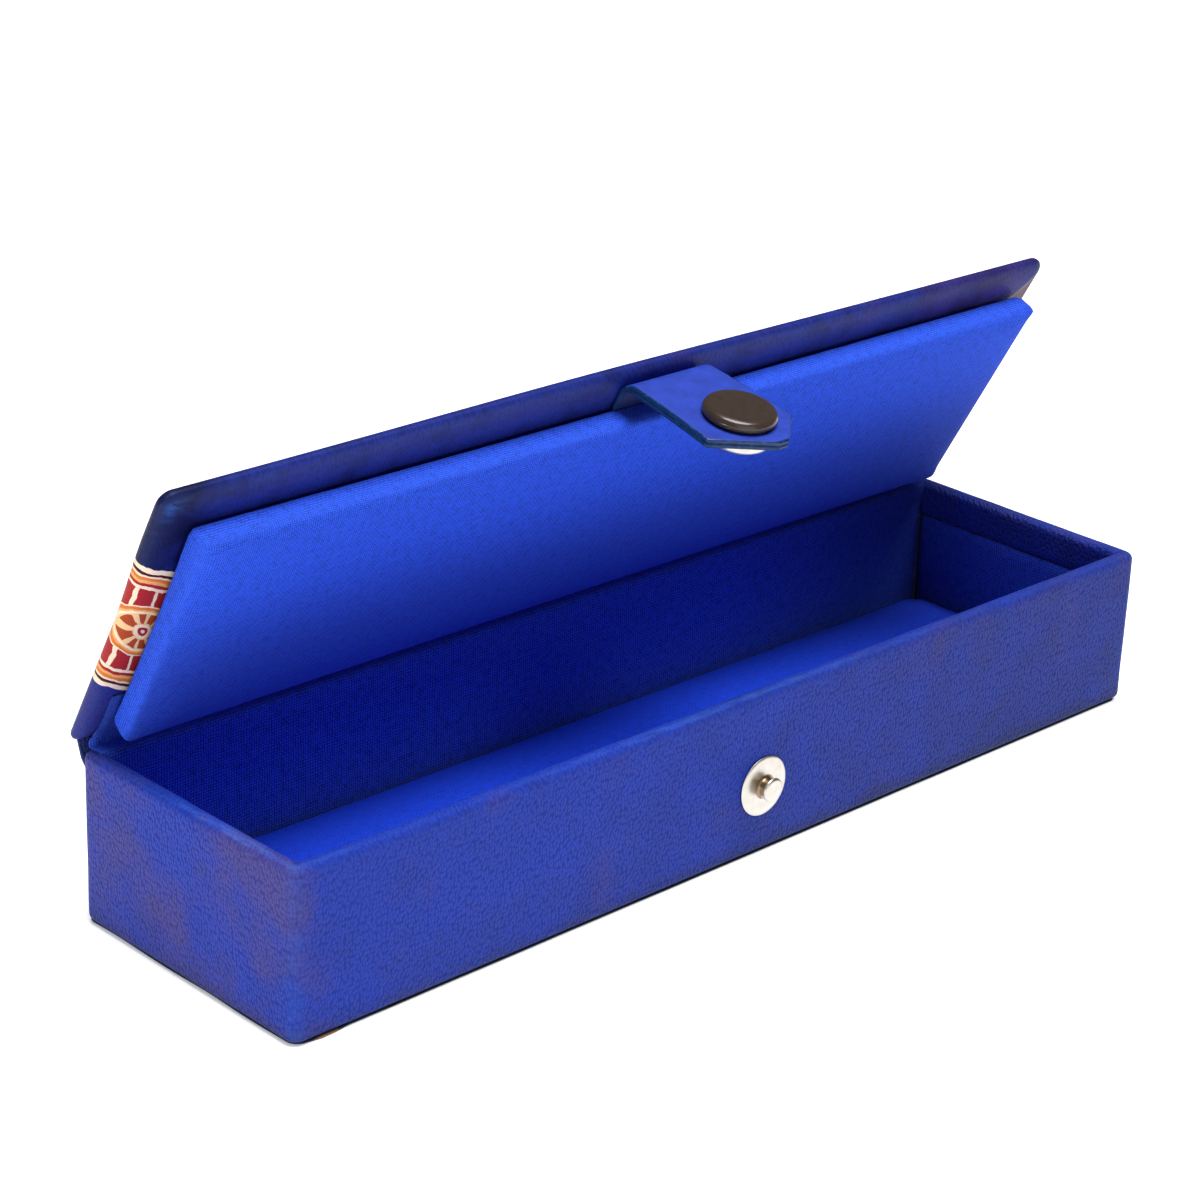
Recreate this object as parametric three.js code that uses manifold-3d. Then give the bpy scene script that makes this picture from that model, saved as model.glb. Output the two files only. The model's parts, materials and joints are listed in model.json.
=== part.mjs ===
// Leather-covered pencil box with a padded, hinged lid and a snap strap.
// Millimetres, +Z up. The origin is the centre of the underside and the front wall faces -Y.
// The lid hinges along the top of the rear wall and stands open, with the strap unfastened.

import * as THREE from "three";
import { mergeVertices } from "three/addons/utils/BufferGeometryUtils.js";
import Module from "manifold-3d";

// Overall sizes
const BOX_LENGTH = 215;
const BOX_DEPTH = 57.8; // front leather to the spine leather on the back
const BOX_HEIGHT = 31.9; // underside to rim
const BOX_CORNER = 1.4; // radius of the upright corners
const LID_END_OVERHANG = 1.2;
const LID_FRONT_OVERHANG = 1.1;
const LID_CORNER = 2;
const LID_EDGE_ROUND = 0.6;

// Sheet materials
const LEATHER = 0.7;
const BOTTOM_LEATHER = 1;
const WALL_BOARD = 1.8;
const BASE_BOARD = 2;
const LID_BOARD = 1.7;
const LINING_CARD = 0.6;
const HINGE_CLOTH = 0.4;
const PAD_CARD = 1;
const PAD_CLOTH = 0.5;
const GLUE_LINE = 0.1;

// Leather turned over the boards
const RIM_TURN_IN = 7;
const RIM_ROUND = 0.5;
const BASE_TURN_IN = 9;
const LID_TURN_IN = 14;

// Hinge along the top of the rear wall
const HINGE_RISE = 0.5; // axis above the rim
const LID_RIM_GAP = 0.26; // closed lid above the rim, at the hinge
const HINGE_EDGE_GAP = 0.3; // axis to the lid's hinge edge
const SPINE_TOP_GAP = 0.4; // top of the spine leather below the axis
const LID_OPEN = 61.8; // degrees from closed, as it stands
const LID_CLOSED = 1; // degrees left when it lies on the strap root
const HINGE_CLOTH_REACH = 12; // cloth leaf on the lid, measured from the axis

// Pads
const BASE_PAD_GAP = 0.3; // pad to the walls around it
const BASE_PAD_SHOULDER = 3.3; // height of its edge above the base board
const BASE_PAD_CROWN = 2.3;
const LID_PAD_END_GAP = 1; // closed pad to the end walls
const LID_PAD_SIDE_GAP = 0.7; // closed pad to the front and rear walls
const LID_PAD_SHOULDER = 4.8;
const LID_PAD_CROWN = 0.6;
const PAD_CORNER = 3;
const PAD_EDGE = 1.6; // width of the rounded edge
const PAD_TUCK = 0.3; // cloth pulled under at the foot
const PAD_DRAW_IN = 0.4; // sides pulled in between the corners
const PAD_BELLY = 0.4; // height share where a side stands furthest out
const PAD_RIDGE = 2; // half width of the flat along the crown

// Strap
const STRAP_WIDTH = 20.4;
const STRAP_PLY = 0.85;
const STRAP_BEND = 74.5; // degrees from the lid's plane, unfastened
const STRAP_STANDOFF = 1.1; // bend in front of the front wall when closed
const STRAP_LEAN = 11.5; // degrees off upright when fastened
const STRAP_GAP = 0.3; // root to tongue, and root to the pad around it
const ROOT_TUCK = 12; // root under the lid pad
const TONGUE_LENGTH = 27.8;
const TIP_TAPER = 7.3;
const TIP_WIDTH = 4;

// Snap fastener
const STUD_HEIGHT = 12.7; // centre above the underside
const STUD_FLANGE_RADIUS = 5.75;
const STUD_FLANGE = 0.7;
const STUD_POST_RADIUS = 2.15;
const STUD_NECK_RADIUS = 1.9;
const STUD_REACH = 3.3; // tip of the post in front of the wall
const STUD_FLARE = 0.45; // rise of the flange into the neck
const STUD_BEAD = 1.3; // length of the bead at the tip
const STUD_BEAD_SLOPE = 0.45; // part of it sloped at each end
const STUD_BORE_DEPTH = 1.6;
const RIVET_RADIUS = 1.3;
const RIVET_FLANGE_RADIUS = 4;
const RIVET_FLANGE = 0.4;
const RIVET_GAP = 0.3;
const CAP_RADIUS = 6.6;
const CAP_HEIGHT = 2.4;
const CAP_RIM = 1.2; // height of the cap's upright edge
const CAP_ROUND = 0.4; // rounding above and below that edge
const CAP_SHOULDER = 1.2; // rim to the edge of the face
const CAP_CROWN = 0.2; // rise of the face to its centre
const SOCKET_FLANGE_RADIUS = 5.5;
const SOCKET_FLANGE = 0.6;
const SOCKET_RADIUS = 4.5;
const SOCKET_HEIGHT = 2;
const SOCKET_GAP = 0.65; // hole to post, all round
const SPRING_WIRE_RADIUS = 0.3;
const SPRING_GAP = 0.15;
const SPRING_OPENING = 60; // degrees left open in the spring ring

// Facets
const CORNER_STEPS = 3;
const LONG_STEPS = 9;
const SHORT_STEPS = 3;
const EDGE_STEPS = 3;
const CROWN_STEPS = 3;
const LID_ROUND_STEPS = 2;
const TURNED_STEPS = 28;
const KNUCKLE_STEPS = 5;
const SPRING_STEPS = 24;
const WIRE_SIDES = 6;
const SAME_POINT = 1e-4; // points nearer than this are one

const wasm = await Module();
wasm.setup();

const radians = THREE.MathUtils.degToRad;

// Worked-out places
const halfLength = BOX_LENGTH / 2;
const front = -BOX_DEPTH / 2;
const back = BOX_DEPTH / 2;
const boardInset = LEATHER + GLUE_LINE;
const liningInset = boardInset + WALL_BOARD + GLUE_LINE;
const rim = liningInset + LEATHER;
const rearWall = back - LEATHER - GLUE_LINE;
const wrapBottom = BOTTOM_LEATHER + GLUE_LINE;
const boardBottom = wrapBottom + LEATHER + GLUE_LINE;
const boardTop = BOX_HEIGHT - LEATHER - GLUE_LINE;
const floor = boardBottom + BASE_BOARD + GLUE_LINE;
const liningTop = BOX_HEIGHT - RIM_TURN_IN - GLUE_LINE;
const rearCloth = rearWall - rim - GLUE_LINE - HINGE_CLOTH;

const lidHalfLength = halfLength + LID_END_OVERHANG;
const lidReach = BOX_DEPTH + LID_FRONT_OVERHANG;
const lidThickness = LID_BOARD + 2 * LEATHER + 2 * GLUE_LINE;
const lidFace = LID_RIM_GAP - HINGE_RISE;
const hingeHeight = BOX_HEIGHT + HINGE_RISE;
const padStandoff = HINGE_CLOTH + 2 * GLUE_LINE;
const lidPadStart = back - rearCloth + LID_PAD_SIDE_GAP;
const lidPadEnd = BOX_DEPTH - rim - LID_PAD_SIDE_GAP;
const lidPadMiddle = (lidPadStart + lidPadEnd) / 2;
const lidPadHalfLength = halfLength - rim - LID_PAD_END_GAP;

const strapHalf = STRAP_PLY + GLUE_LINE / 2;
const bendReach = BOX_DEPTH + STRAP_STANDOFF;
const rootFace = lidFace - GLUE_LINE - STRAP_PLY;
const bendDrop = rootFace - STRAP_GAP - strapHalf;
const postMiddle = (STUD_FLANGE + STUD_REACH) / 2;
const closed = radians(LID_CLOSED);
const lean = radians(STRAP_LEAN);
const bendHeightClosed = hingeHeight + bendReach * Math.sin(closed) + bendDrop * Math.cos(closed);
const snapReach =
  (bendHeightClosed - STUD_HEIGHT) * Math.cos(lean) + (postMiddle - STRAP_STANDOFF) * Math.sin(lean);

// Leather, cloth, card and metal as they look in the hand
const blueLeather = { color: 0x2f3fa5, roughness: 0.55, metalness: 0 };
const darkLeather = { color: 0x2a2870, roughness: 0.5, metalness: 0 };
const strapLeather = { color: 0x3f52d0, roughness: 0.6, metalness: 0 };
const blackLeather = { color: 0x16161f, roughness: 0.7, metalness: 0 };
const blueCotton = { color: 0x2040d0, roughness: 0.9, metalness: 0 };
const greyBoard = { color: 0x8d8578, roughness: 0.95, metalness: 0 };
const paleFoam = { color: 0xe8e2cf, roughness: 0.95, metalness: 0 };
const nickel = { color: 0xc9c7c2, roughness: 0.25, metalness: 1 };
const blackEnamel = { color: 0x241d1b, roughness: 0.18, metalness: 0.2 };

// A geometry with its shared vertices merged and its collapsed triangles dropped.
function closedSurface(geometry) {
  const bare = geometry.clone();
  bare.deleteAttribute("normal");
  bare.deleteAttribute("uv");
  const merged = mergeVertices(bare, SAME_POINT);
  const corners = merged.index.array;
  const kept = [];
  for (let i = 0; i < corners.length; i += 3) {
    const [a, b, c] = corners.slice(i, i + 3);
    if (a !== b && b !== c && c !== a) kept.push(a, b, c);
  }
  merged.setIndex(kept);
  return merged;
}

function solidOf(geometry) {
  const surface = closedSurface(geometry);
  return new wasm.Manifold(
    new wasm.Mesh({
      numProp: 3,
      vertProperties: new Float32Array(surface.attributes.position.array),
      triVerts: new Uint32Array(surface.index.array),
    }),
  );
}

function geometryOf(solid) {
  const mesh = solid.getMesh();
  const geometry = new THREE.BufferGeometry();
  geometry.setAttribute("position", new THREE.BufferAttribute(mesh.vertProperties, 3));
  geometry.setIndex(new THREE.BufferAttribute(mesh.triVerts, 1));
  return geometry;
}

function cut(geometry, ...tools) {
  const made = tools.reduce((solid, tool) => solid.subtract(solidOf(tool)), solidOf(geometry));
  return geometryOf(made);
}

function common(a, b) {
  return geometryOf(solidOf(a).intersect(solidOf(b)));
}

// A rectangular block between two corners.
function block([x0, y0, z0], [x1, y1, z1]) {
  const made = new THREE.BoxGeometry(x1 - x0, y1 - y0, z1 - z0);
  return made.translate((x0 + x1) / 2, (y0 + y1) / 2, (z0 + z1) / 2);
}

// A rectangle with rounded corners, as a flat outline.
function roundedRectangle(halfX, halfY, radius) {
  const x = halfX - radius;
  const y = halfY - radius;
  const outline = new THREE.Shape();
  outline.absarc(x, y, radius, 0, Math.PI / 2);
  outline.absarc(-x, y, radius, Math.PI / 2, Math.PI);
  outline.absarc(-x, -y, radius, Math.PI, 1.5 * Math.PI);
  outline.absarc(x, -y, radius, 1.5 * Math.PI, 2 * Math.PI);
  return outline;
}

function extruded(outline, depth) {
  return new THREE.ExtrudeGeometry(outline, { depth, bevelEnabled: false, curveSegments: CORNER_STEPS });
}

// An outline drawn in (y, z), carried across the width in x.
function carriedAcross(outline, width) {
  const made = extruded(outline, width);
  const turn = new THREE.Matrix4().makeBasis(
    new THREE.Vector3(0, 1, 0),
    new THREE.Vector3(0, 0, 1),
    new THREE.Vector3(1, 0, 0),
  );
  return made.applyMatrix4(turn).translate(-width / 2, 0, 0);
}

// One level ring of points round a rounded rectangle, anticlockwise from above.
// A corner is never sharper than a glue line.
function levelRing(halfX, halfY, radius, z, longSteps = 1, shortSteps = 1) {
  const r = Math.max(radius, GLUE_LINE);
  const points = [];
  const centres = [[1, 1], [-1, 1], [-1, -1], [1, -1]];
  centres.forEach(([sx, sy], quarter) => {
    for (let k = 0; k <= CORNER_STEPS; k++) {
      const angle = ((quarter + k / CORNER_STEPS) * Math.PI) / 2;
      const x = sx * (halfX - r) + r * Math.cos(angle);
      const y = sy * (halfY - r) + r * Math.sin(angle);
      points.push(new THREE.Vector3(x, y, z));
    }
    const [nx, ny] = centres[(quarter + 1) % centres.length];
    const last = points.at(-1);
    const angle = ((quarter + 1) * Math.PI) / 2;
    const next = new THREE.Vector3(
      nx * (halfX - r) + r * Math.cos(angle),
      ny * (halfY - r) + r * Math.sin(angle),
      z,
    );
    const steps = quarter % 2 === 0 ? longSteps : shortSteps;
    for (let k = 1; k < steps; k++) points.push(last.clone().lerp(next, k / steps));
  });
  return points;
}

// A skin through rings of equal count: capped at both ends, or closed from last ring to first.
function skinned(rings, closesOnItself) {
  const count = rings[0].length;
  const points = rings.flat();
  const faces = [];
  const spans = closesOnItself ? rings.length : rings.length - 1;
  for (let k = 0; k < spans; k++) {
    const here = k * count;
    const there = ((k + 1) % rings.length) * count;
    for (let i = 0; i < count; i++) {
      const j = (i + 1) % count;
      faces.push(here + i, here + j, there + j);
      faces.push(here + i, there + j, there + i);
    }
  }
  if (!closesOnItself) {
    const middle = (ring) => ring.reduce((sum, p) => sum.add(p), new THREE.Vector3()).divideScalar(count);
    const top = (rings.length - 1) * count;
    const startPole = points.push(middle(rings[0])) - 1;
    const endPole = points.push(middle(rings.at(-1))) - 1;
    for (let i = 0; i < count; i++) {
      const j = (i + 1) % count;
      faces.push(startPole, j, i);
      faces.push(endPole, top + i, top + j);
    }
  }
  const geometry = new THREE.BufferGeometry().setFromPoints(points);
  geometry.setIndex(faces);
  return geometry;
}

// A turned piece: (radius, height) points from the axis back to the axis, or round a closed section.
function turned(profile) {
  const points = profile.map(([r, z]) => new THREE.Vector2(r, z));
  return closedSurface(new THREE.LatheGeometry(points, TURNED_STEPS)).rotateX(Math.PI / 2);
}

function rod(radius, from, to) {
  return turned([[0, from], [radius, from], [radius, to], [0, to]]);
}

function piece(name, geometry, look) {
  const made = new THREE.Mesh(geometry, new THREE.MeshStandardMaterial(look));
  made.name = name;
  return made;
}

// The wall wrap, bottom sheet and spine
function makeBoxLeather(box) {
  const halfY = (rearWall - front) / 2;
  const middle = (rearWall + front) / 2;
  const section = [
    [0, wrapBottom],
    [0, BOX_HEIGHT - RIM_ROUND],
    [RIM_ROUND, BOX_HEIGHT],
    [rim - RIM_ROUND, BOX_HEIGHT],
    [rim, BOX_HEIGHT - RIM_ROUND],
    [rim, BOX_HEIGHT - RIM_TURN_IN],
    [rim - LEATHER, BOX_HEIGHT - RIM_TURN_IN],
    [rim - LEATHER, BOX_HEIGHT - LEATHER],
    [LEATHER, BOX_HEIGHT - LEATHER],
    [LEATHER, wrapBottom + LEATHER],
    [BASE_TURN_IN, wrapBottom + LEATHER],
    [BASE_TURN_IN, wrapBottom],
  ];
  const corner = (inset) => (inset < LEATHER ? BOX_CORNER - inset : 0);
  const rings = section.map(([inset, z]) =>
    levelRing(halfLength - inset, halfY - inset, corner(inset), z),
  );
  const wrap = skinned(rings, true).translate(0, middle, 0);
  box.add(piece("wall_leather", cut(wrap, studHole(0, boardInset)), blueLeather));

  const sheet = extruded(roundedRectangle(halfLength, BOX_DEPTH / 2, BOX_CORNER), BOTTOM_LEATHER);
  box.add(piece("bottom_leather", sheet, blackLeather));

  const spine = block(
    [-halfLength + BOX_CORNER, rearWall + GLUE_LINE, wrapBottom],
    [halfLength - BOX_CORNER, back, hingeHeight - SPINE_TOP_GAP],
  );
  box.add(piece("spine_leather", spine, blueLeather));
}

// The hole for the stud's rivet, between two depths behind the front face.
function studHole(from, to) {
  const radius = RIVET_RADIUS + RIVET_GAP;
  const hole = rod(radius, -to - GLUE_LINE, -from + GLUE_LINE);
  return hole.rotateX(Math.PI / 2).translate(0, front, STUD_HEIGHT);
}

// The five boards of the carcass
function makeBoards(box) {
  const outer = halfLength - boardInset;
  const inner = outer - WALL_BOARD - GLUE_LINE;
  const frontFace = front + boardInset;
  const rearFace = rearWall - boardInset;
  const frontInner = frontFace + WALL_BOARD;
  const rearInner = rearFace - WALL_BOARD;

  const frontBoard = block([-outer, frontFace, boardBottom], [outer, frontInner, boardTop]);
  const recess = rod(
    RIVET_FLANGE_RADIUS + RIVET_GAP,
    -liningInset,
    -liningInset + GLUE_LINE + RIVET_FLANGE + 2 * GLUE_LINE,
  );
  recess.rotateX(Math.PI / 2).translate(0, front, STUD_HEIGHT);
  box.add(piece("front_board", cut(frontBoard, studHole(boardInset, liningInset), recess), greyBoard));

  const rearBoard = block([-outer, rearInner, boardBottom], [outer, rearFace, boardTop]);
  box.add(piece("rear_board", rearBoard, greyBoard));

  const ends = { left_board: [-outer, -outer + WALL_BOARD], right_board: [outer - WALL_BOARD, outer] };
  for (const [name, [x0, x1]] of Object.entries(ends)) {
    const end = block([x0, frontInner + GLUE_LINE, boardBottom], [x1, rearInner - GLUE_LINE, boardTop]);
    box.add(piece(name, end, greyBoard));
  }

  const base = block(
    [-inner, frontInner + GLUE_LINE, boardBottom],
    [inner, rearInner - GLUE_LINE, boardBottom + BASE_BOARD],
  );
  box.add(piece("base_board", base, greyBoard));
}

// Cloth-covered cards on the walls, and the cloth leaf of the hinge on the rear wall
function makeLinings(box) {
  const length = halfLength - liningInset;
  const frontCard = front + liningInset;
  const rearCard = rearWall - liningInset;
  const long = {
    lining_front: [frontCard, frontCard + LINING_CARD, blueCotton],
    lining_rear: [rearCard - LINING_CARD, rearCard, greyBoard],
  };
  for (const [name, [y0, y1, look]] of Object.entries(long)) {
    box.add(piece(name, block([-length, y0, floor], [length, y1, liningTop]), look));
  }
  const y0 = frontCard + LINING_CARD + GLUE_LINE;
  const y1 = rearCard - LINING_CARD - GLUE_LINE;
  const ends = {
    lining_left: [-length, -length + LINING_CARD],
    lining_right: [length - LINING_CARD, length],
  };
  for (const [name, [x0, x1]] of Object.entries(ends)) {
    box.add(piece(name, block([x0, y0, floor], [x1, y1, liningTop]), blueCotton));
  }
  const clothEnd = halfLength - rim - GLUE_LINE;
  const leaf = block(
    [-clothEnd, rearCloth, floor],
    [clothEnd, rearCloth + HINGE_CLOTH, BOX_HEIGHT - RIM_ROUND],
  );
  box.add(piece("hinge_cloth_box", leaf, blueCotton));
}

// Level rings up a crowned pad from z = 0: tucked foot, rounded edge, then the rise to the crown.
function padRings(halfX, halfY, shoulder, crown) {
  const belly = PAD_BELLY * shoulder;
  const stations = [[PAD_TUCK, 0]];
  for (let k = 0; k <= EDGE_STEPS; k++) {
    const turn = (k / EDGE_STEPS) * (Math.PI / 2);
    stations.push([PAD_EDGE * (1 - Math.cos(turn)), belly + (shoulder - belly) * Math.sin(turn)]);
  }
  for (let k = 1; k <= CROWN_STEPS; k++) {
    const share = k / CROWN_STEPS;
    const inset = PAD_EDGE + share * (halfY - PAD_EDGE - PAD_RIDGE);
    stations.push([inset, shoulder + crown * (1 - (1 - share) ** 2)]);
  }
  return stations.map(([inset, z]) => {
    const ring = levelRing(halfX - inset, halfY - inset, PAD_CORNER - inset, z, LONG_STEPS, SHORT_STEPS);
    return ring.map((p) => {
      const alongPull = 1 - (PAD_DRAW_IN / halfY) * (1 - (p.x / halfX) ** 2);
      const acrossPull = 1 - (PAD_DRAW_IN / halfX) * (1 - (p.y / halfY) ** 2);
      return new THREE.Vector3(p.x * acrossPull, p.y * alongPull, p.z);
    });
  });
}

// Card, foam and cloth cover of one pad, standing on z = 0, with a pocket cut in card and cover if given.
function makePad(group, name, halfX, halfY, shoulder, crown, pocket) {
  const inset = PAD_CLOTH + GLUE_LINE;
  const outside = padRings(halfX, halfY, shoulder, crown);
  const inside = padRings(halfX - PAD_CLOTH, halfY - PAD_CLOTH, shoulder - PAD_CLOTH, crown);
  const filling = skinned(padRings(halfX - inset, halfY - inset, shoulder - inset, crown), false);
  const cardSpace = block([-halfX, -halfY, -PAD_CARD], [halfX, halfY, PAD_CARD + GLUE_LINE]);
  const cardX = halfX - inset - PAD_TUCK - PAD_DRAW_IN;
  const cardY = halfY - inset - PAD_TUCK - PAD_DRAW_IN;
  const card = extruded(roundedRectangle(cardX, cardY, PAD_CORNER), PAD_CARD);
  const cover = skinned([...inside.reverse(), ...outside], false);
  const opened = (geometry) => (pocket ? cut(geometry, pocket) : geometry);
  group.add(piece(`${name}_card`, opened(card), greyBoard));
  group.add(piece(`${name}_foam`, cut(filling, cardSpace), paleFoam));
  group.add(piece(`${name}_cover`, opened(cover), blueCotton));
}

function makeBasePad(box) {
  const y0 = front + rim + BASE_PAD_GAP;
  const y1 = rearCloth - BASE_PAD_GAP;
  const halfX = halfLength - rim - BASE_PAD_GAP;
  const pad = new THREE.Group();
  pad.position.set(0, (y0 + y1) / 2, floor);
  makePad(pad, "base_pad", halfX, (y1 - y0) / 2, BASE_PAD_SHOULDER, BASE_PAD_CROWN);
  box.add(pad);
}

// The stud on the front wall and the rivet that holds it from inside
function makeStud(box) {
  const boreRadius = RIVET_RADIUS + RIVET_GAP;
  const beadStart = STUD_REACH - STUD_BEAD;
  const stud = turned([
    [0, GLUE_LINE + STUD_BORE_DEPTH],
    [boreRadius, GLUE_LINE + STUD_BORE_DEPTH],
    [boreRadius, GLUE_LINE],
    [STUD_FLANGE_RADIUS, GLUE_LINE],
    [STUD_FLANGE_RADIUS, STUD_FLANGE / 2],
    [STUD_POST_RADIUS + STUD_FLANGE, STUD_FLANGE],
    [STUD_NECK_RADIUS, STUD_FLANGE + STUD_FLARE],
    [STUD_NECK_RADIUS, beadStart],
    [STUD_POST_RADIUS, beadStart + STUD_BEAD_SLOPE],
    [STUD_POST_RADIUS, STUD_REACH - STUD_BEAD_SLOPE],
    [STUD_NECK_RADIUS, STUD_REACH],
    [0, STUD_REACH],
  ]);
  const rivetBack = -liningInset + GLUE_LINE;
  const rivet = turned([
    [0, rivetBack],
    [RIVET_FLANGE_RADIUS, rivetBack],
    [RIVET_FLANGE_RADIUS, rivetBack + RIVET_FLANGE],
    [RIVET_RADIUS, rivetBack + RIVET_FLANGE],
    [RIVET_RADIUS, STUD_BORE_DEPTH],
    [0, STUD_BORE_DEPTH],
  ]);
  for (const [name, made] of Object.entries({ snap_stud: stud, stud_rivet: rivet })) {
    const mesh = piece(name, made, nickel);
    mesh.rotation.x = Math.PI / 2;
    mesh.position.set(0, front, STUD_HEIGHT);
    box.add(mesh);
  }
}

// The lid, drawn closed: hinge axis on the group's X axis, free edge towards -Y, inner face down.
function makeLid() {
  const lid = new THREE.Group();
  lid.position.set(0, back, hingeHeight);
  lid.rotation.x = -radians(LID_OPEN);

  const halfDepth = (lidReach - HINGE_EDGE_GAP) / 2;
  const middle = -(lidReach + HINGE_EDGE_GAP) / 2;
  const skin = new THREE.ExtrudeGeometry(
    roundedRectangle(lidHalfLength - LID_EDGE_ROUND, halfDepth - LID_EDGE_ROUND, LID_CORNER),
    {
      depth: lidThickness - 2 * LID_EDGE_ROUND,
      bevelThickness: LID_EDGE_ROUND,
      bevelSize: LID_EDGE_ROUND,
      bevelSegments: LID_ROUND_STEPS,
      curveSegments: CORNER_STEPS,
    },
  );
  skin.translate(0, middle, lidFace + LID_EDGE_ROUND);
  const slab = (inset, z0, z1) =>
    block(
      [-lidHalfLength + inset, middle - halfDepth + inset, z0],
      [lidHalfLength - inset, middle + halfDepth - inset, z1],
    );
  const boardFace = lidFace + LEATHER + GLUE_LINE;
  const hollow = slab(LEATHER, lidFace + LEATHER, lidFace + lidThickness - LEATHER);
  const window = slab(LID_TURN_IN, lidFace - LEATHER, boardFace);
  lid.add(piece("lid_leather", cut(skin, hollow, window), darkLeather));
  lid.add(piece("lid_board", slab(LEATHER + GLUE_LINE, boardFace, boardFace + LID_BOARD), greyBoard));

  const leafEnd = halfLength - rim - BASE_PAD_GAP;
  const leaf = block(
    [-leafEnd, -HINGE_CLOTH_REACH, lidFace - GLUE_LINE - HINGE_CLOTH],
    [leafEnd, -(back - rearCloth) - GLUE_LINE, lidFace - GLUE_LINE],
  );
  lid.add(piece("hinge_cloth_lid", leaf, blueCotton));
  return lid;
}

// The lid's pad, crowned towards the box, with a pocket for the strap's root.
function makeLidPad(lid) {
  const halfDepth = (lidPadEnd - lidPadStart) / 2;
  const pocketHalf = STRAP_WIDTH / 2 + STRAP_GAP;
  const pocket = block(
    [-pocketHalf, halfDepth - ROOT_TUCK - STRAP_GAP, -padStandoff],
    [pocketHalf, halfDepth + STRAP_GAP, GLUE_LINE + STRAP_PLY + STRAP_GAP - padStandoff],
  );
  const pad = new THREE.Group();
  pad.position.set(0, -lidPadMiddle, lidFace - padStandoff);
  pad.rotation.x = Math.PI;
  makePad(pad, "lid_pad", lidPadHalfLength, halfDepth, LID_PAD_SHOULDER, LID_PAD_CROWN, pocket);
  lid.add(pad);

  const root = block(
    [-STRAP_WIDTH / 2, -bendReach - strapHalf, rootFace],
    [STRAP_WIDTH / 2, -lidPadEnd + ROOT_TUCK, rootFace + STRAP_PLY],
  );
  lid.add(piece("strap_root", root, strapLeather));
}

// One ply of the tongue between two heights on the same side of the bend, round at its root.
function tonguePly(near, far) {
  const side = Math.sign(far);
  const lowest = Math.asin(Math.abs(near) / Math.abs(far));
  const section = new THREE.Shape();
  section.moveTo(-TONGUE_LENGTH, near);
  for (let k = 0; k <= KNUCKLE_STEPS; k++) {
    const angle = lowest + (k / KNUCKLE_STEPS) * (Math.PI / 2 - lowest);
    section.lineTo(Math.abs(far) * Math.cos(angle), side * Math.abs(far) * Math.sin(angle));
  }
  section.lineTo(-TONGUE_LENGTH, far);
  section.closePath();
  const half = STRAP_WIDTH / 2;
  const plan = new THREE.Shape();
  plan.moveTo(-half, 2 * strapHalf);
  plan.lineTo(-half, TIP_TAPER - TONGUE_LENGTH);
  plan.lineTo(-TIP_WIDTH / 2, -TONGUE_LENGTH);
  plan.lineTo(TIP_WIDTH / 2, -TONGUE_LENGTH);
  plan.lineTo(half, TIP_TAPER - TONGUE_LENGTH);
  plan.lineTo(half, 2 * strapHalf);
  plan.closePath();
  const outline = extruded(plan, 4 * strapHalf).translate(0, 0, -2 * strapHalf);
  const hole = rod(RIVET_RADIUS + RIVET_GAP, -2 * strapHalf, 2 * strapHalf).translate(0, -snapReach, 0);
  return cut(common(carriedAcross(section, STRAP_WIDTH), outline), hole);
}

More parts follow.
